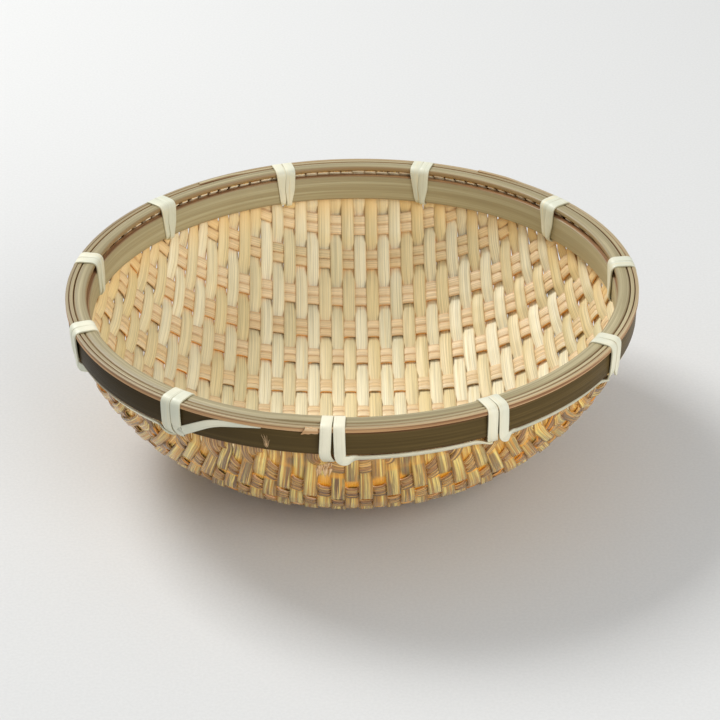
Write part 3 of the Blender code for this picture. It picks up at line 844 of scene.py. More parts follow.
@dataclass
class WeavePlan:
    """Where the lengthwise splints and the crosswise rows lie on the wall.

    A hole is a place where the lashing passes between them.
    """

    wall: BowlWall
    splint_numbers: range = range(-24, 26)
    splint_pitch: float = 0.00478
    splint_shift: float = -0.0013
    splint_bow_length: float = 0.1410
    front_sweep: float = 0.0038
    sweep_radius: float = 0.0840
    sweep_limit: float = 1.1
    row_pitch_arc: float = 0.1213
    row_shares: tuple[float, ...] = (
        0.900, 0.784, 0.655, 0.533, 0.414, 0.263, 0.111, -0.033,
        -0.148, -0.264, -0.379, -0.494, -0.601, -0.708, -0.814, -0.968,
    )
    row_strands: tuple[int, ...] = (2, 2, 2, 2, 2, 3, 2, 2, 3, 2, 3, 2, 3, 3, 3, 3)
    row_bow_radius: float = 0.1400
    row_bend_length: float = 0.1175
    row_rim_share: float = 0.12
    row_slope: float = 0.02
    hole_angles: tuple[float, ...] = ()
    hole_arc: float = 0.1205
    hole_reach: float = 0.0007
    hole_height: float = 0.0030
    hole_width: float = 0.0035
    end_steps: int = 12
    flat_share: float = 0.36
    line_steps: int = 1201

    def splint_x(self, number: float, y: Array) -> Array:
        """Lead a lengthwise splint from front to back.

        Args:
            number: Its number from the middle one.
            y: Places along its length.

        Returns:
            Its sideways places there.
        """
        start = self.wall.radius_at(self.splint_pitch * number + self.splint_shift)
        x = start * (1 - (start * y / self.splint_bow_length**2) ** 2)
        radius = np.maximum(np.hypot(x, y), 1e-6)
        near = (radius - self.sweep_radius) / (self.wall.rim - self.sweep_radius)
        near = np.clip(near, 0, self.sweep_limit)
        return x - self.front_sweep * 2 * x * np.maximum(-y, 0) / radius**2 * near**2

    def row_y(self, row: int, x: Array) -> Array:
        """Lead a crosswise row from left to right.

        Args:
            row: Its number from the back.
            x: Places along its length.

        Returns:
            Its places there, front to back.
        """
        start = self.wall.radius_at(self.row_shares[row] * self.row_pitch_arc)
        if start > 0:
            bent = start * np.sqrt(1 - (x / self.row_bow_radius) ** 2)
        else:
            straighter = 1 + self.row_rim_share * (start / self.wall.rim) ** 4
            bent = start - (start * x) ** 2 / (self.row_bend_length * straighter) ** 3
        return bent - self.row_slope * x

    def is_inside(self, splint: int, row: int) -> bool:
        """Whether the lengthwise splint lies inside the row where they cross."""
        return (splint + row) % 2 == 0

    def within(self, *line: Array) -> Array:
        """Keep the part of a line seen from above, given by its x and y, that lies inside the rim."""
        return np.stack(line, -1)[np.hypot(*line) < self.wall.rim]

    def sweep(self) -> Array:
        """Places from rim to rim, closer together near the rim."""
        return self.wall.rim * np.sin(np.linspace(-math.pi / 2, math.pi / 2, self.line_steps))

    def climbed(self, line: Array, tips: Array) -> tuple[Array, Array]:
        """Put a line seen from above on the wall, with upright ends.

        Args:
            line: The line.
            tips: How far each end stays below the wall's top.

        Returns:
            Points on the inner face and their arcs.
        """
        wall, many = self.wall, self.end_steps
        rises = wall.top_height - wall.foot_height - tips
        arc, angle = wall.arc_at(np.hypot(line[:, 0], line[:, 1])), np.arctan2(line[:, 1], line[:, 0])
        first = wall.foot_arc + np.linspace(rises[0], 0, many, endpoint=False)
        last = wall.foot_arc + np.linspace(0, rises[1], many + 1)[1:]
        arc = np.concatenate([first, arc, last])
        angle = np.concatenate([np.full(many, angle[0]), angle, np.full(many, angle[-1])])
        return wall.points(arc, angle)[0], arc

    def parted(self, points: Array, arc: Array) -> tuple[Array, Array]:
        """Push a line aside where the lashing passes through the wall.

        Args:
            points: The line's points.
            arc: Their arcs.

        Returns:
            The moved points and their normals.
        """
        angle, radius = np.arctan2(points[:, 1], points[:, 0]), self.wall.rim
        for hole in self.hole_angles:
            far = ((angle - math.radians(hole) + math.pi) % (2 * math.pi) - math.pi) * radius
            near = np.exp(-(((arc - self.hole_arc) / self.hole_height) ** 2))
            near = near * np.exp(-np.abs(far) / self.hole_width)
            angle = angle + np.sign(far) * near * self.hole_reach / radius
        return self.wall.points(arc, angle)

    def heights(self, place: Array, knots: Knots, hold: float) -> Array:
        """Heights over the wall's middle that hold each crossing's level and ease between them.

        Args:
            place: Places along the line.
            knots: Place and level of each crossing, in order.
            hold: How far a level is held to each side.

        Returns:
            The height at each place.
        """
        heights = np.full(len(place), knots[0][1])
        for (start, low), (end, high) in zip(knots, knots[1:]):
            flat = min(hold, self.flat_share * (end - start))
            share = eased((place - start - flat) / max(end - start - 2 * flat, 1e-9))
            heights = np.where(place >= start, low + (high - low) * share, heights)
        return heights


@dataclass
class WovenBowl:
    """The interlaced splints of the bowl.

    A strip's swing is its greatest height over the wall's middle, its hold how far a crossing's level
    is kept to each side, its bulge how much further out it stands where the wall is steep, its tips
    how far its ends stay below the wall's top, and its spare how much its width differs.
    """

    plan: WeavePlan
    loom: StripLoom
    lengthwise_finish: Material
    crosswise_finish: Material
    splint_width: float = 0.0046
    splint_thickness: float = 0.00072
    splint_edge: float = 0.00012
    splint_swing: float = 0.00046
    splint_hold: float = 0.0030
    splint_bulge: float = 2.1
    splint_step: float = 0.0012
    splint_waver: float = 0.00025
    splint_tips: tuple[float, float] = (0.0001, 0.0008)
    splint_spare: tuple[float, float] = (-0.020, 0.010)
    splint_room: float = 1.05
    splint_limits: tuple[float, float] = (0.72, 1.36)
    row_width: float = 0.0078
    row_step: float = 0.0011
    strand_gap: float = 0.00002
    strand_thickness: float = 0.00070
    strand_edge: float = 0.00006
    strand_swing: float = 0.00044
    strand_hold: float = 0.0012
    strand_bulge: float = 0.8
    strand_step: float = 0.00075
    strand_waver: float = 0.00012
    strand_tips: tuple[float, float] = (0.0002, 0.0010)
    strand_spare: tuple[float, float] = (-0.03, 0.015)
    rim_level: float = 0.00036
    knot_margin: float = 0.001
    bulge_fade: float = 0.012
    tip_start: float = 0.0101
    tip_reach: float = 0.9
    tip_lean: float = 0.0016
    tip_narrowing: float = 0.16
    seed: int = 20

    def knots(
        self, gaps: list[Array], place: Array, arc: Array, levels: list[float], rim: float, bulge: float
    ) -> Knots:
        """Find where a line crosses others and which level it has there.

        Args:
            gaps: For each other line, the signed distance to it at each place.
            place: Places along the line.
            arc: Their arcs.
            levels: The line's level at each crossing.
            rim: The level between the hoops.
            bulge: How much further out it stands where the wall is steep.

        Returns:
            Place and level of each crossing in order, with the rim's at both ends.
        """
        found, below, margin = [], arc < self.plan.wall.foot_arc, self.knot_margin
        for gap, level in zip(gaps, levels):
            change = np.nonzero((gap[:-1] * gap[1:] <= 0) & below[:-1] & below[1:])[0]
            if len(change):
                index = change[0]
                share = gap[index] / (gap[index] - gap[index + 1] + 1e-12)
                spot = float(place[index] + share * (place[index + 1] - place[index]))
                found.append((spot, self.bulged(level, float(arc[index]), bulge)))
        inside = np.nonzero(below)[0]
        first, last = float(place[inside[0]]) - margin, float(place[inside[-1]]) + margin
        found = [knot for knot in sorted(found) if first + 2 * margin < knot[0] < last - 2 * margin]
        return [(first, rim)] + found + [(last, rim)]

    def bulged(self, level: float, arc: float, bulge: float) -> float:
        """Let a strip stand further out where the wall is steep, up to just under the rim."""
        steep = float(self.plan.wall.at(arc)[2]) * min(1.0, (self.plan.wall.foot_arc - arc) / self.bulge_fade)
        return level * (1 + bulge * steep) if level < 0 else level

    def path(self, points: Array, arc: Array, heights: Array, wide: Array, swing: float) -> StripPath:
        """Lift a line off the wall's middle and give it its faces.

        Args:
            points: The line on the wall's inner face.
            arc: The arcs of its points.
            heights: Its heights over the wall's middle.
            wide: Share of the nominal width at each point.
            swing: The greatest height.

        Returns:
            The strip's path.
        """
        points, normals = self.plan.parted(points, arc)
        middle = points + normals * (heights - self.plan.wall.thickness / 2)[:, None]
        way = unit(np.gradient(middle, axis=0))
        side = unit(np.cross(way, normals))
        inward = np.clip((heights / swing + 1) / 2, 0, 1)
        return StripPath(middle, unit(np.cross(side, way)), side, wide, np.ones(len(points)), inward)

    def drawn(self, name: str, path: StripPath, chance: np.random.Generator, **sizes: object) -> Piece:
        """Draw a strip with a tone and a hue of its own."""
        tone, hue = float(chance.uniform(0, 1)), float(chance.uniform(0, 1))
        return self.loom.strip(name, path, Tone=tone, Hue=hue, **sizes)

    def lengthwise(self) -> list[Piece]:
        """Build the splints that run front to back.

        Returns:
            The pieces, one for each splint.
        """
        plan, swing, made, y = self.plan, self.splint_swing, [], self.plan.sweep()
        chance, rows = np.random.default_rng(self.seed), range(len(plan.row_shares))
        sizes = {
            "Width": self.splint_width, "Thickness": self.splint_thickness, "Edge_Radius": self.splint_edge,
            "Waver": self.splint_waver, "Waver_Scale": 28.0, "Finish": self.lengthwise_finish,
        }
        for index, number in enumerate(plan.splint_numbers):
            line = plan.within(plan.splint_x(number, y), y)
            points, arc = plan.climbed(line, chance.uniform(*self.splint_tips, 2))
            points, arc, place = evenly(points, self.splint_step, arc)
            gaps = [points[:, 1] - plan.row_y(row, points[:, 0]) for row in rows]
            levels = [swing if plan.is_inside(number, row) else -swing for row in rows]
            knots = self.knots(gaps, place, arc, levels, self.rim_level, self.splint_bulge)
            tip = eased((arc - plan.wall.foot_arc - self.tip_start) / (self.tip_reach * self.tip_lean))
            heights = plan.heights(place, knots, self.splint_hold) + tip * self.tip_lean
            wide = self.width_share(points, number) * (1 + chance.uniform(*self.splint_spare))
            wide = wide * (1 - tip * chance.uniform(0.0, self.tip_narrowing))
            path = self.path(points, arc, heights, wide, swing)
            made.append(self.drawn(f"lengthwise_splint_{index + 1:02d}", path, chance, Seed=index, **sizes))
        return made

    def width_share(self, points: Array, number: int) -> Array:
        """Find how wide a splint can be between its neighbours.

        Args:
            points: The splint's line.
            number: Its number.

        Returns:
            The share of the nominal width at each point.
        """
        wall, way, room = self.plan.wall, unit(np.gradient(points, axis=0)), np.zeros(len(points))
        for other in (number - 1, number + 1):
            x = self.plan.splint_x(other, points[:, 1])
            radius = np.minimum(np.hypot(x, points[:, 1]), wall.rim)
            spot, _ = wall.points(wall.arc_at(radius), np.arctan2(points[:, 1], x))
            room += np.linalg.norm(across(spot - points, way), axis=1) / 2
        return np.clip(room * self.splint_room / self.splint_width, *self.splint_limits)

    def crosswise(self) -> list[Piece]:
        """Build the strands of each crosswise row.

        Returns:
            The pieces, one for each strand.
        """
        plan, swing, made, x = self.plan, self.strand_swing, [], self.plan.sweep()
        chance, numbers = np.random.default_rng(self.seed + 1), plan.splint_numbers
        sizes = {
            "Thickness": self.strand_thickness, "Edge_Radius": self.strand_edge, "Waver": self.strand_waver,
            "Waver_Scale": 30.0, "Finish": self.crosswise_finish,
        }
        for row, count in enumerate(plan.row_strands):
            line = plan.within(x, plan.row_y(row, x))
            base, arcs = plan.climbed(line, chance.uniform(*self.strand_tips, 2))
            base, arcs, _ = evenly(base, self.row_step, arcs)
            normals = plan.wall.points(arcs, np.arctan2(base[:, 1], base[:, 0]))[1]
            side = unit(np.cross(unit(np.gradient(base, axis=0)), normals))
            levels = [-swing if plan.is_inside(number, row) else swing for number in numbers]
            for strand in range(count):
                off = (strand - (count - 1) / 2) * (self.row_width / count)
                arc, angle = plan.wall.project(base + side * off, arcs)
                points, arc, place = evenly(plan.wall.points(arc, angle)[0], self.strand_step, arc)
                gaps = [points[:, 0] - plan.splint_x(number, points[:, 1]) for number in numbers]
                knots = self.knots(gaps, place, arc, levels, -self.rim_level, self.strand_bulge)
                heights = plan.heights(place, knots, self.strand_hold)
                wide = np.full(len(place), 1 + chance.uniform(*self.strand_spare))
                path = self.path(points, arc, heights, wide, swing)
                sizes |= {"Width": self.row_width / count - self.strand_gap, "Seed": 100 + row * 3 + strand}
                name = f"crosswise_row_{row + 1:02d}_strand_{strand + 1}"
                made.append(self.drawn(name, path, chance, **sizes))
        return made


@dataclass
class RimStrip:
    """One bent strip of the rim, closed by a lap joint. Its place comes from its CAD node."""

    node: str
    finish: BarkFinish
    joint_angle: float
    seed: int
    breadth: float
    slot: Slot = Slot.BARK_PALE
    facing: Facing = Facing.UPWARD
    lap_length: float = 0.010
    edge: float = 0.0002
    crown: float = 0.0
    sway: float = 0.00012
    widened: float = 0.0
    tip_share: float = 0.24
    proud_share: float = 0.85
    proud_laps: float = 2.2
    step: float = 0.0016

    def path(self) -> StripPath:
        """Lead the strip once round, and over its own beginning at the joint.

        Returns:
            The strip's path.
        """
        outer, low, high = ring_of(self.node)
        radius = outer - self.breadth / 2
        upright = self.facing is not Facing.UPWARD
        thickness = self.breadth if upright else high - low
        lap = self.lap_length / radius
        total = 2 * math.pi + lap
        turn = np.linspace(0, total, int(total * radius / self.step))
        begins, ends = np.clip(turn / lap, 0, 1), np.clip((total - turn) / lap, 0, 1)
        thick = self.tip_share + (1 - self.tip_share) * np.minimum(begins, ends)
        over = eased((turn - total + self.proud_laps * lap) / lap)
        proud = self.tip_share * thickness * self.proud_share * over
        shift = (1 - thick) * thickness / 2 * np.where(turn < math.pi, -1.0, 1.0) + proud
        angle = math.radians(self.joint_angle) + turn
        zero, one = np.zeros(len(turn)), np.ones(len(turn))
        first, second = np.random.default_rng(self.seed).uniform(0, 2 * math.pi, 2)
        drift = self.sway * (np.sin(3 * angle + first) + 0.6 * np.sin(7 * angle + second))
        radial = np.stack([np.cos(angle), np.sin(angle), zero], -1)
        up = np.stack([zero, zero, one], -1)
        face = {Facing.OUTWARD: radial, Facing.INWARD: -radial, Facing.UPWARD: up}[self.facing]
        side = up if upright else radial
        points = radial * radius + up * (low + high) / 2 + face * shift[:, None] + side * drift[:, None]
        return StripPath(points, face, side, one, thick, zero)

    def build(self, loom: StripLoom) -> Piece:
        """Draw the strip.

        Args:
            loom: The tree that draws it.

        Returns:
            The piece.
        """
        _, low, high = ring_of(self.node)
        width, thickness = high - low, self.breadth
        if self.facing is Facing.UPWARD:
            width, thickness = thickness + self.widened, width
        return loom.strip(
            f"{self.node}_bark", self.path(), Width=width, Thickness=thickness, Edge_Radius=self.edge,
            Crown=self.crown, Edge_Steps=3, Face_Cuts=1, Seed=self.seed, Tone=self.seed * 0.137 % 1,
            Finish=self.finish.build(),
        )


@dataclass
class Lashing:
    """One pale strip wound twice round the rim at each station and led on under the outer hoop.

    A row of its route holds radius, way along the rim, height, and the strip's width direction as
    its shares outward, along the rim and upward, and last the share of its nominal width. A turn
    rises outside the hoops, goes over the top and falls inside them to its pass through the wall.
    """

    loom: StripLoom
    finish: Material
    stations: tuple[float, ...]
    width: float = 0.0037
    thickness: float = 0.00062
    edge: float = 0.00014
    step: float = 0.0004
    run_radius: float = 0.10265
    run_height: float = 0.05300
    run_share: float = 0.72
    run_tilt: float = math.radians(38)
    pass_radius: float = 0.10185
    pass_height: float = 0.0512
    top_height: float = 0.06640
    inner_radius: float = 0.09650
    outer_radius: float = 0.10540
    hoop_radius: float = 0.10490
    rise_drop: float = 0.0048
    rise_lift: float = 0.0016
    rise_shares: tuple[float, float] = (0.3, 0.7)
    climb_start: float = 0.0004
    fall_drop: float = 0.0055
    fall_inset: float = 0.0002
    fall_shares: tuple[float, float] = (0.6, 0.4)
    lap_limit: float = 0.95
    lap_inset: float = 0.00055
    lap_drop: float = 0.0005
    corner: float = 0.0026
    corner_limit: float = 0.48
    corner_steps: int = 7
    taper: float = 0.0040
    pinch: float = 0.55
    pinch_margin: float = 0.0001
    bend: float = 0.0019
    spread_length: float = 0.0034
    leave_reach: float = 0.0024
    leave_share: float = 0.6
    twist_length: float = 0.0042
    tail_turn: float = 0.0152
    tail_length: float = 0.0320
    tail_height: float = 0.0626
    tail_foot: float = 0.0552
    tail_corner: float = 0.0055
    tail_inset: float = 0.0002
    tail_hold: float = 0.35
    tail_widths: tuple[float, float, float] = (0.08, 0.78, 0.92)
    run_gap: float = 0.0012
    run_sag: tuple[float, float] = (-0.00020, 0.0001)
    width_range: tuple[float, float] = (1.0, 1.10)
    top_gap: tuple[float, float] = (0.00002, 0.00010)
    out_gap: tuple[float, float] = (0.00004, 0.00024)
    foot_gap: tuple[float, float] = (0.00070, 0.00120)
    top_lean: float = 0.0004
    first_gap: float = 0.00003
    first_foot: float = 0.00090
    last_halves: tuple[float, float, float] = (0.00215, 0.00255, 0.00120)
    least_step: float = 0.00004
    seed: int = 5

    def softened(self, rows: list[Array], reach: float) -> list[Array]:
        """Round the inner corners of a bent line.

        Args:
            rows: The line's corners.
            reach: How far before and after each one the bend begins and ends.

        Returns:
            The rows of the rounded line.
        """
        made = [rows[0]]
        for before, here, after in zip(rows, rows[1:], rows[2:]):
            ways, most = (before - here, after - here), self.corner_limit
            start, end = (here + way * min(reach / np.linalg.norm(way[:3]), most) for way in ways)
            for share in np.linspace(0, 1, self.corner_steps):
                made.append((1 - share) ** 2 * start + 2 * share * (1 - share) * here + share**2 * end)
        return made + [rows[-1]]

    def turns(self, low: float, first: tuple[float, ...], second: tuple[float, ...]) -> list[Array]:
        """Both turns at one station, each given by its ways at outer foot, top and inner foot.

        Args:
            low: The height at which the first turn begins to climb.
            first: The first turn.
            second: The second turn.

        Returns:
            Their rows.
        """
        inside, outside, top, foot = self.inner_radius, self.outer_radius, self.top_height, self.pass_height
        lap = second[2] - first[2] < self.lap_limit * self.width
        out, over = self.rise_shares
        first_rise, second_rise = (turn[0] * out + turn[1] * over for turn in (first, second))
        fall = second[1] * self.fall_shares[0] + second[2] * self.fall_shares[1]
        corners = [
            (self.hoop_radius, first[0], low),
            (outside, first_rise, top - self.rise_drop),
            (outside, first[1], top),
            (inside, first[1], top),
            (inside, first[2], foot),
            (self.run_radius, (first[2] + second[0]) / 2, foot),
            (self.hoop_radius, second[0], self.run_height + self.rise_lift),
            (outside, second_rise, top - self.rise_drop),
            (outside, second[1], top),
            (inside, second[1], top),
            (inside - self.fall_inset, fall, top - self.fall_drop),
            (inside - self.lap_inset * lap, second[2], foot - self.lap_drop * lap),
            (self.pass_radius, (second[2] + second[0]) / 2, foot),
        ]
        return self.softened([np.array((*corner, 0, -1, 0, 1.0)) for corner in corners], self.corner)

    def pinched(self, row: Array) -> float:
        """Share of the width that the strip keeps where it narrows into its hole."""
        kept = float(np.clip((row[2] - self.pass_height) / self.taper, self.pinch, 1.0))
        return 1.0 if row[0] > self.run_radius - self.pinch_margin else kept

    def leaning(self, share: float) -> tuple[float, float, float]:
        """Width direction of a strip led along the rim, upright at share 0 and leaning at 1."""
        return (math.sin(self.run_tilt * share), 0.0, math.cos(self.run_tilt * share))

    def leaving(self, begin: float) -> list[Array]:
        """Turn the strip from its pass through the wall into the run.

        Args:
            begin: Where it comes through the wall, along the rim.

        Returns:
            The rows.
        """
        rows, lean = [], np.array(self.leaning(1.0))
        for share in np.linspace(0.1, 2, 20):
            turned, twist = min(share, 1.0), float(eased(share / 2))
            heading = turned * math.pi / 2
            out = self.pass_radius + self.leave_reach * math.sin(heading) * self.leave_share
            out += (self.run_radius - out) * float(eased(share - 1))
            way = begin + self.leave_reach * (1 - math.cos(heading)) + self.twist_length * max(share - 1, 0)
            side = np.array((math.sin(heading), -math.cos(heading), 0.0)) * (1 - twist) + lean * twist
            height = self.pass_height + (self.run_height - self.pass_height) * twist
            wide = self.pinch + (self.run_share - self.pinch) * turned
            rows.append(np.array((out, way, height, *side / np.linalg.norm(side), wide)))
        return rows

    def arriving(self, way: float) -> list[Array]:
        """Bend the strip that comes along the hoop's foot up its outer face.

        Args:
            way: Where it stands upright, along the rim.

        Returns:
            The rows.
        """
        begin, rise, rows = way - self.bend - self.spread_length, self.hoop_radius - self.run_radius, []
        for share in np.linspace(0, 1, 8, endpoint=False):
            near = 0.8 * float(eased(share))
            place = (self.run_radius + rise * near, begin + self.spread_length * share, self.run_height)
            rows.append(np.array((*place, *self.leaning(1 - near), 1.0)))
        for share in np.linspace(0, 1, 10):
            near = 0.8 + 0.2 * float(eased(2 * share))
            rows.append(self.bent(way, self.run_radius + rise * near, self.run_height, share, 0.0))
        return rows

    def bent(self, way: float, radius: float, base: float, share: float, slope: float) -> Array:
        """One row of the bend within the strip's own plane, from along the rim to upward.

        Args:
            way: Where the strip stands upright.
            radius: Its radius.
            base: The height at which it comes along.
            share: How much of the bend is done.
            slope: The angle at which it comes along.

        Returns:
            The row.
        """
        heading = slope + (math.pi / 2 - slope) * share
        spot = way - self.bend * (1 - math.sin(heading))
        height = base + self.bend * (math.cos(slope) - math.cos(heading))
        return np.array((radius, spot, height, 0.0, -math.sin(heading), math.cos(heading), 1.0))

    def tail(self, way: float) -> list[Array]:
        """Hold the first end under the cap's edge and lead it down to the first turn.

        Args:
            way: Where the first turn stands upright, along the rim.

        Returns:
            The rows.
        """
        radius, (tip, held, foot) = self.hoop_radius - self.tail_inset, self.tail_widths
        slope = math.atan2(self.tail_foot - self.tail_height, self.tail_turn - self.bend)
        tilt = (0.0, -math.sin(slope), math.cos(slope))
        height, base = self.tail_height + self.tail_hold * self.width, self.tail_foot
        corners = [
            (radius, way - self.tail_length, height, 0, 0, 1, tip),
            (radius, way - self.tail_turn, self.tail_height, 0, 0, 1, held),
            (radius, way - self.bend, base, *tilt, foot),
        ]
        rows = self.softened([np.array(corner) for corner in corners], self.tail_corner)
        return rows + [self.bent(way, radius, base, share, slope) for share in np.linspace(0, 1, 10)]

    def run(
        self, start: Array, here: float, there: float, half_out: float, chance: np.random.Generator
    ) -> list[Array]:
        """Rows along the foot of the outer hoop.

        Args:
            start: The last row at this station.
            here: This station's angle.
            there: The next one's.
            half_out: How far from there the next turn begins.
            chance: Gives the sag.

        Returns:
            The rows, up to just before the next station.
        """
        length = math.radians((here - there) % 360) * self.run_radius
        end = length - half_out - self.bend - self.spread_length - self.run_gap
        sag, rows = chance.uniform(*self.run_sag), []
        for share in np.linspace(0, 1, 22)[1:]:
            height = self.run_height + sag * math.sin(share * math.pi)
            spot = start[1] + (end - start[1]) * share
            rows.append(np.array((self.run_radius, spot, height, *self.leaning(1.0), self.run_share)))
        return rows

    def rows(self) -> Array:
        """Lead the strip through all stations.

        Returns:
            The rows of the whole route, with angles in place of ways.
        """
        chance, made, last = np.random.default_rng(self.seed), [], len(self.stations) - 1
        for index, station in enumerate(self.stations):
            share = chance.uniform(*self.width_range)
            half_top = self.width * share / 2 + chance.uniform(*self.top_gap)
            half_out = half_top + chance.uniform(*self.out_gap)
            half_foot = chance.uniform(*self.foot_gap)
            lean_top = chance.uniform(-self.top_lean, self.top_lean)
            if index == 0:
                half_top = self.width * share / 2 + self.first_gap
                half_out, half_foot = half_top + self.first_gap, self.first_foot
            if index == last:
                half_top, half_out, half_foot = self.last_halves
            first = (-half_out, -half_top + lean_top, -half_foot)
            second = (half_out, half_top + lean_top, half_foot)
            rows = self.arriving(first[0]) if index else self.tail(first[0])
            wound = self.turns(float(rows[-1][2]) + self.climb_start, first, second)
            for row in wound:
                row[6] = share * self.pinched(row)
            rows += wound
            if index < last:
                rows += self.leaving(float(rows[-1][1]))
                rows += self.run(rows[-1], station, self.stations[index + 1], half_out, chance)
            for row in rows:
                row[1] = math.radians(station) - row[1] / self.run_radius
            made += rows
        return np.array(made)

    def build(self) -> Piece:
        """Draw the whole strip.

        Returns:
            The piece.
        """
        rows = self.rows()
        angle = np.unwrap(rows[:, 1])
        x, y, zero = np.cos(angle), np.sin(angle), np.zeros(len(rows))
        radial, along = np.stack([x, y, zero], -1), np.stack([y, -x, zero], -1)
        up = np.array([0, 0, 1.0])
        points = radial * rows[:, :1] + up * rows[:, 2:3]
        side = radial * rows[:, 3:4] + along * rows[:, 4:5] + up * rows[:, 5:6]
        keep = np.append(True, np.linalg.norm(np.diff(points, axis=0), axis=1) > self.least_step)
        even, side, wide, place = evenly(points[keep], self.step, side[keep], rows[keep, 6], more=0)
        for line in (even, side):
            line[1:-1] = (line[:-2] + 2 * line[1:-1] + line[2:]) / 4
        way, one = unit(np.gradient(even, axis=0)), np.ones(len(place))
        side = unit(across(side, way))
        path = StripPath(even, unit(np.cross(side, way)), side, wide, one, one * 0)
        return self.loom.strip(
            "lashing_strip", path, Width=self.width, Thickness=self.thickness, Edge_Radius=self.edge,
            Edge_Steps=2, Waver=0.0001, Waver_Scale=40.0, Seed=3, Finish=self.finish,
        )


@dataclass
class Frays:
    """What came loose: a torn cap end, a tuft on the outer hoop and slivers at the last station."""

    finish: Material
    torn_radius: float = 0.10515
    torn_thickness: float = 0.0005
    torn_outline: tuple[tuple[float, float], ...] = (
        (260.20, 0.06335), (260.55, 0.06420), (260.70, 0.06480), (261.00, 0.06540), (261.05, 0.06640),
        (261.55, 0.06600), (262.10, 0.06630), (262.60, 0.06605), (263.30, 0.06620), (263.35, 0.06400),
        (262.70, 0.06385), (262.10, 0.06400), (261.60, 0.06360), (261.00, 0.06375),
    )

    def torn_tip(self) -> Piece:
        """Cut the torn end of the outer cap strip as a thin bent plate over its neighbour's side.

        Returns:
            The piece.
        """
        count, points = len(self.torn_outline), []
        turns, heights = np.array(self.torn_outline * 2).T
        turns = np.radians(turns)
        for turn, height, outer in zip(turns, heights, [False] * count + [True] * count):
            radius = self.torn_radius + self.torn_thickness * outer
            points.append((radius * math.cos(turn), radius * math.sin(turn), height))
        sides = [(i, (i + 1) % count, (i + 1) % count + count, i + count) for i in range(count)]
        ends = [tuple(range(count)), tuple(range(2 * count - 1, count - 1, -1))]
        mesh = bpy.data.meshes.new("cap_torn_tip")
        mesh.from_pydata(points, [], ends + sides)
        for name, values in (("along", turns * self.torn_radius), ("across", heights - 0.065)):
            mesh.attributes.new(name, "FLOAT", "POINT").data.foreach_set("value", values.astype(np.float32))
        mesh.materials.append(self.finish)
        turn_out(mesh)
        return shown("cap_torn_tip", mesh)

    def fan(self, tree: SliverTree, name: str, stand: tuple[float, ...], **sizes: object) -> Piece:
        """Scatter slivers on the basket's outside.

        Args:
            tree: The tree that scatters them.
            name: The piece's name.
            stand: Their angle on the rim, radius, height, and lean out of the wall in degrees.
            **sizes: The tree's inputs by name.

        Returns:
            The piece.
        """
        angle, radius, height, lean = stand
        place = Matrix.Rotation(math.radians(angle), 4, "Z") @ Matrix.Translation((radius, 0, height))
        piece = grown(name, bpy.data.meshes.new(name), tree.tree, {**sizes, "Finish": self.finish})
        piece.data.transform(place @ Matrix.Rotation(math.radians(lean), 4, "Y"))
        return piece

    def build(self) -> list[tuple[Piece, Slot]]:
        """Make the loose parts.

        Returns:
            Each piece with its finish in the record.
        """
        made, tree = [(self.torn_tip(), Slot.BARK_PALE)], SliverTree()
        tuft = {
            "Count": 15, "Spread": (0.0001, 0.0005, 0.0004), "Length": 0.0048, "Girth": 0.00010,
            "Fan": (0.55, 0.06, 0.5), "Curl": 0.16, "Seed": 4,
        }
        slivers = {
            "Count": 12, "Spread": (0.0003, 0.0026, 0.0012), "Length": 0.0034, "Girth": 0.00072,
            "Fan": (0.35, 0.2, 0.3), "Curl": 0.06, "Seed": 9,
        }
        for name, stand, sizes in (
            ("hoop_fibre_tuft", (253.5, 0.10455, 0.0568, 5.0), tuft),
            ("pass_slivers", (264.4, 0.1030, 0.0499, 150.0), slivers),
        ):
            made.append((self.fan(tree, name, stand, **sizes), Slot.WEAVE))
        return made


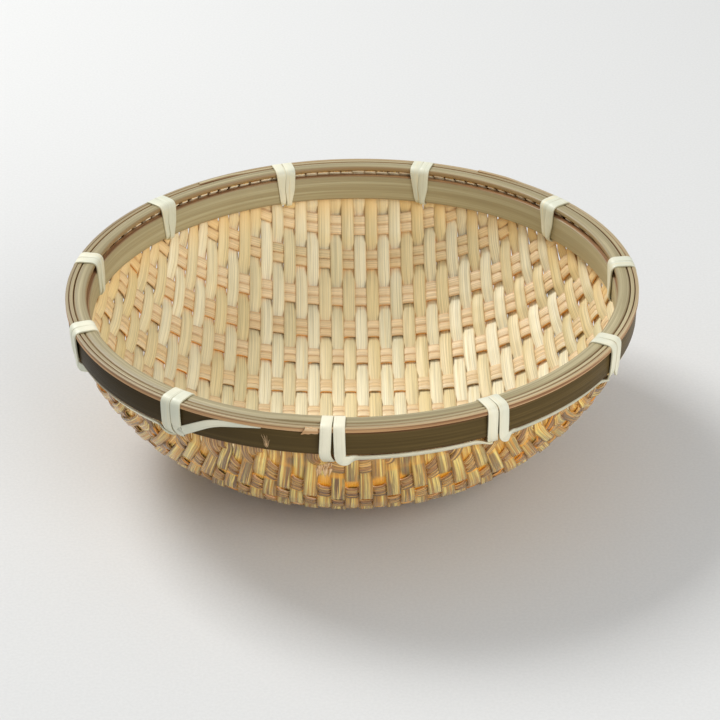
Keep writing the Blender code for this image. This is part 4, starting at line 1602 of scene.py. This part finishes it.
@dataclass
class Studio:
    """Pale floor, soft light and the photograph's camera."""

    elevation: float = 27.85
    distance: float = 0.902
    focal_pixels: float = 2451.0
    frame_pixels: float = 720.0
    sensor_width: float = 36.0
    roll: float = -1.01
    off_centre: tuple[float, float] = (-7.6, -80.3)
    aim_height: float = ring_of("cap_strip_wide")[2]
    lamp_power: float = 18.0
    fill_power: float = 10.5
    sky_strength: float = 0.48
    floor_reach: float = 6.0

    def camera(self) -> None:
        """Stand the camera as the photograph's, aimed a little lower instead of shifted."""
        data = bpy.data.cameras.new("camera")
        data.sensor_width = self.sensor_width
        data.lens = self.focal_pixels / self.frame_pixels * self.sensor_width
        camera, up = shown("camera", data), math.radians(self.elevation)
        camera.location = (0, -math.cos(up) * self.distance, self.aim_height + math.sin(up) * self.distance)
        pitch = math.pi / 2 - up + math.atan(self.off_centre[1] / self.focal_pixels)
        yaw = math.atan(self.off_centre[0] / self.focal_pixels)
        turn = Matrix.Rotation(pitch, 4, "X") @ Matrix.Rotation(math.radians(self.roll), 4, "Z")
        camera.rotation_euler = (Matrix.Rotation(yaw, 4, "Z") @ turn).to_euler()
        bpy.context.scene.camera = camera

    def lamp(self, name: str, spot: tuple[float, float, float], size: float, power: float) -> None:
        """Hang a square soft lamp that looks at the basket.

        Args:
            name: Its name.
            spot: Its place.
            size: Its side.
            power: Its power in watts.
        """
        data = bpy.data.lights.new(name, "AREA")
        data.size, data.energy = size, power
        lamp = shown(name, data)
        lamp.location = spot
        lamp.rotation_euler = (-Vector(spot) + Vector((0, 0, 0.04))).to_track_quat("-Z", "Y").to_euler()

    def world(self) -> None:
        """Give the backdrop's brightness to what the camera sees and a lower one to the light."""
        world = bpy.data.worlds.new("studio")
        bpy.context.scene.world = world
        world.use_nodes = True
        world.node_tree.nodes.clear()
        bench = Bench(world.node_tree)
        seen = bench.out("ShaderNodeBackground", None, tint(232, 232, 230), 1.0)
        light = bench.out("ShaderNodeBackground", None, tint(250, 252, 255), self.sky_strength)
        rays = bench.node("ShaderNodeLightPath").outputs
        direct = bench.maths("MAXIMUM", rays["Is Camera Ray"], rays["Is Glossy Ray"])
        direct = bench.maths("MAXIMUM", direct, rays["Is Transmission Ray"])
        bench.node("ShaderNodeOutputWorld", None, bench.out("ShaderNodeMixShader", None, direct, light, seen))

    def floor(self) -> None:
        """Lay the pale floor."""
        mesh, far = bpy.data.meshes.new("floor"), self.floor_reach
        corners = [(-far, -far, 0), (far, -far, 0), (far, far, 0), (-far, far, 0)]
        mesh.from_pydata(corners, [], [(0, 1, 2, 3)])
        bench = ShaderBench("floor_paper")
        grain = bench.noise(bench.place(), 900.0)
        colour = bench.blend(bench.spread(grain, 0.3, 0.7), tint(210, 210, 208), tint(214, 214, 212))
        mesh.materials.append(bench.finish(colour, 0.85, grain, 0.00002))
        shown("floor", mesh)

    def build(self) -> None:
        """Set up the whole studio."""
        self.camera()
        self.world()
        self.floor()
        self.lamp("window", (-0.75, 0.70, 1.15), 0.6, self.lamp_power)
        self.lamp("front_fill", (0.80, -0.95, 0.68), 1.0, self.fill_power)
        bpy.context.scene.view_settings.view_transform = "Standard"


STATIONS = (233.6, 198.8, 168.0, 137.6, 105.5, 73.1, 37.6, 5.5, 331.0, 297.4, 265.8)

LENGTHWISE = SplintFinish(
    "lengthwise_bamboo", half_width=0.0023, edge_glow=0.30, edge_shade_share=0.40,
    pith_pale=tint(242, 231, 194), pith_warm=tint(230, 208, 152), pith_green=tint(216, 203, 156),
    pith_edge_shade=tint(200, 168, 112), skin=tint(216, 160, 78), skin_pale=tint(255, 226, 134),
    skin_streak=tint(108, 80, 64), glow=tint(250, 176, 56),
)
CROSSWISE = SplintFinish(
    "crosswise_bamboo", half_width=0.0018, edge_glow=0.9, edge_shade_share=0.42, pith_pale=tint(240, 214, 170),
    pith_warm=tint(230, 198, 146), pith_green=tint(214, 194, 146), pith_edge_shade=tint(196, 148, 96),
    skin=tint(176, 126, 76), skin_pale=tint(246, 196, 112), skin_streak=tint(96, 68, 52),
    glow=tint(250, 166, 50),
)
OUTER_BARK = BarkFinish(
    "outer_hoop_bark", half_width=0.00435, thickness=0.0024, contrast=0.55, gloss=0.08, left_painted_shade=0.60,
    bark=tint(88, 72, 41), bark_light=tint(112, 92, 55), bark_dark=tint(69, 55, 30),
    line=tint(112, 70, 46), cut=tint(150, 108, 74), cut_dark=tint(104, 72, 48),
    cut_light=tint(190, 150, 108),
)
INNER_BARK = BarkFinish(
    "inner_hoop_bark", half_width=0.00515, thickness=0.0024, contrast=0.8, bark=tint(170, 158, 122),
    bark_light=tint(186, 178, 144), bark_dark=tint(146, 131, 96), line=tint(140, 106, 66),
    cut=tint(186, 140, 92), cut_dark=tint(136, 98, 62), cut_light=tint(212, 174, 124),
)
CAP_BARK = BarkFinish(
    "cap_strip_bark", half_width=0.0023, thickness=0.0020, bark_depth=0.0017, bark=tint(164, 151, 112),
    bark_light=tint(190, 177, 138), bark_dark=tint(124, 110, 76), line=tint(150, 120, 80),
    cut=tint(186, 140, 92), cut_dark=tint(138, 98, 60), cut_light=tint(208, 170, 122),
)
MIDDLE_BARK = BarkFinish(
    "cap_middle_bark", half_width=0.00069, thickness=0.0020, line_reach=0.0002, bark=tint(168, 154, 114),
    bark_light=tint(190, 177, 138), bark_dark=tint(128, 110, 76), line=tint(150, 118, 80),
    cut=tint(160, 122, 82), cut_dark=tint(116, 82, 52), cut_light=tint(188, 152, 108),
)
OUTER_SPLIT = BarkFinish(
    "cap_outer_split", half_width=0.0006, thickness=0.0020, line_reach=0.0002, bark_depth=0.0005,
    left_painted_shade=0.35, bark=tint(180, 162, 122), bark_light=tint(202, 184, 144), bark_dark=tint(138, 114, 80),
    line=tint(190, 156, 112), cut=tint(186, 144, 98), cut_dark=tint(130, 88, 52),
    cut_light=tint(218, 182, 136),
)
TORN_WOOD = BarkFinish(
    "torn_bamboo", half_width=0.0020, thickness=0.0020, bark=tint(230, 198, 152),
    bark_light=tint(246, 220, 178), bark_dark=tint(186, 142, 96), line=tint(206, 160, 108),
    cut=tint(228, 194, 148), cut_dark=tint(184, 140, 94), cut_light=tint(246, 220, 178),
)
CANE = CaneFinish(
    "cane_lashing", pale=tint(236, 230, 204), cool=tint(212, 213, 192), straw=tint(232, 214, 168),
    line=tint(176, 168, 132),
)

HOOP = {"breadth": 0.0024, "lap_length": 0.024, "edge": 0.0005, "crown": 0.00015}
RIM_STRIPS = (
    RimStrip(
        "outer_hoop", OUTER_BARK, joint_angle=90.0, seed=2, slot=Slot.BARK_DARK, facing=Facing.OUTWARD, **HOOP
    ),
    RimStrip("inner_hoop", INNER_BARK, joint_angle=183.0, seed=3, facing=Facing.INWARD, **HOOP),
    RimStrip(
        "cap_strip_wide", CAP_BARK, joint_angle=259.0, seed=4, breadth=0.0046, edge=0.0008, crown=0.0001,
        sway=0.00008,
    ),
    RimStrip(
        "cap_strip_middle", MIDDLE_BARK, joint_angle=120.0, seed=5, breadth=0.0011, widened=0.00028,
        sway=0.00004,
    ),
    RimStrip("cap_strip_outer", OUTER_SPLIT, joint_angle=55.0, seed=6, breadth=0.0012, sway=0.00004),
)


def adopt(piece: Piece, slot: Slot, *nodes: str) -> None:
    """Let a piece ride on the basket and stand for its CAD nodes.

    Args:
        piece: The piece.
        slot: The record's finish; not used.
        *nodes: The CAD nodes that it stands for.
    """
    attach(piece, "root")
    if nodes:
        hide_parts(*nodes)
    LOG.info("%s: %d faces, for %s", piece.name, len(piece.data.polygons), ", ".join(nodes) or "no node")


def main() -> None:
    """Build the basket's parts in order, and the studio round it."""
    logging.basicConfig(level=logging.INFO, format="%(name)s: %(message)s")
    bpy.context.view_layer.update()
    loom = StripLoom()
    plan = WeavePlan(BowlWall(), hole_angles=STATIONS)
    bowl = WovenBowl(plan, loom, LENGTHWISE.build(), CROSSWISE.build())
    for piece in bowl.lengthwise() + bowl.crosswise():
        adopt(piece, Slot.WEAVE, "woven_bowl")
    for strip in RIM_STRIPS:
        adopt(strip.build(loom), strip.slot, strip.node)
    lashed = Lashing(loom, CANE.build(), STATIONS).build()
    adopt(lashed, Slot.CANE, *(f"lashing_{number:02d}" for number in range(1, len(STATIONS) + 1)))
    for piece, slot in Frays(TORN_WOOD.build()).build():
        adopt(piece, slot)
    Studio().build()
    bpy.context.view_layer.update()


if __name__ == "__main__":
    main()
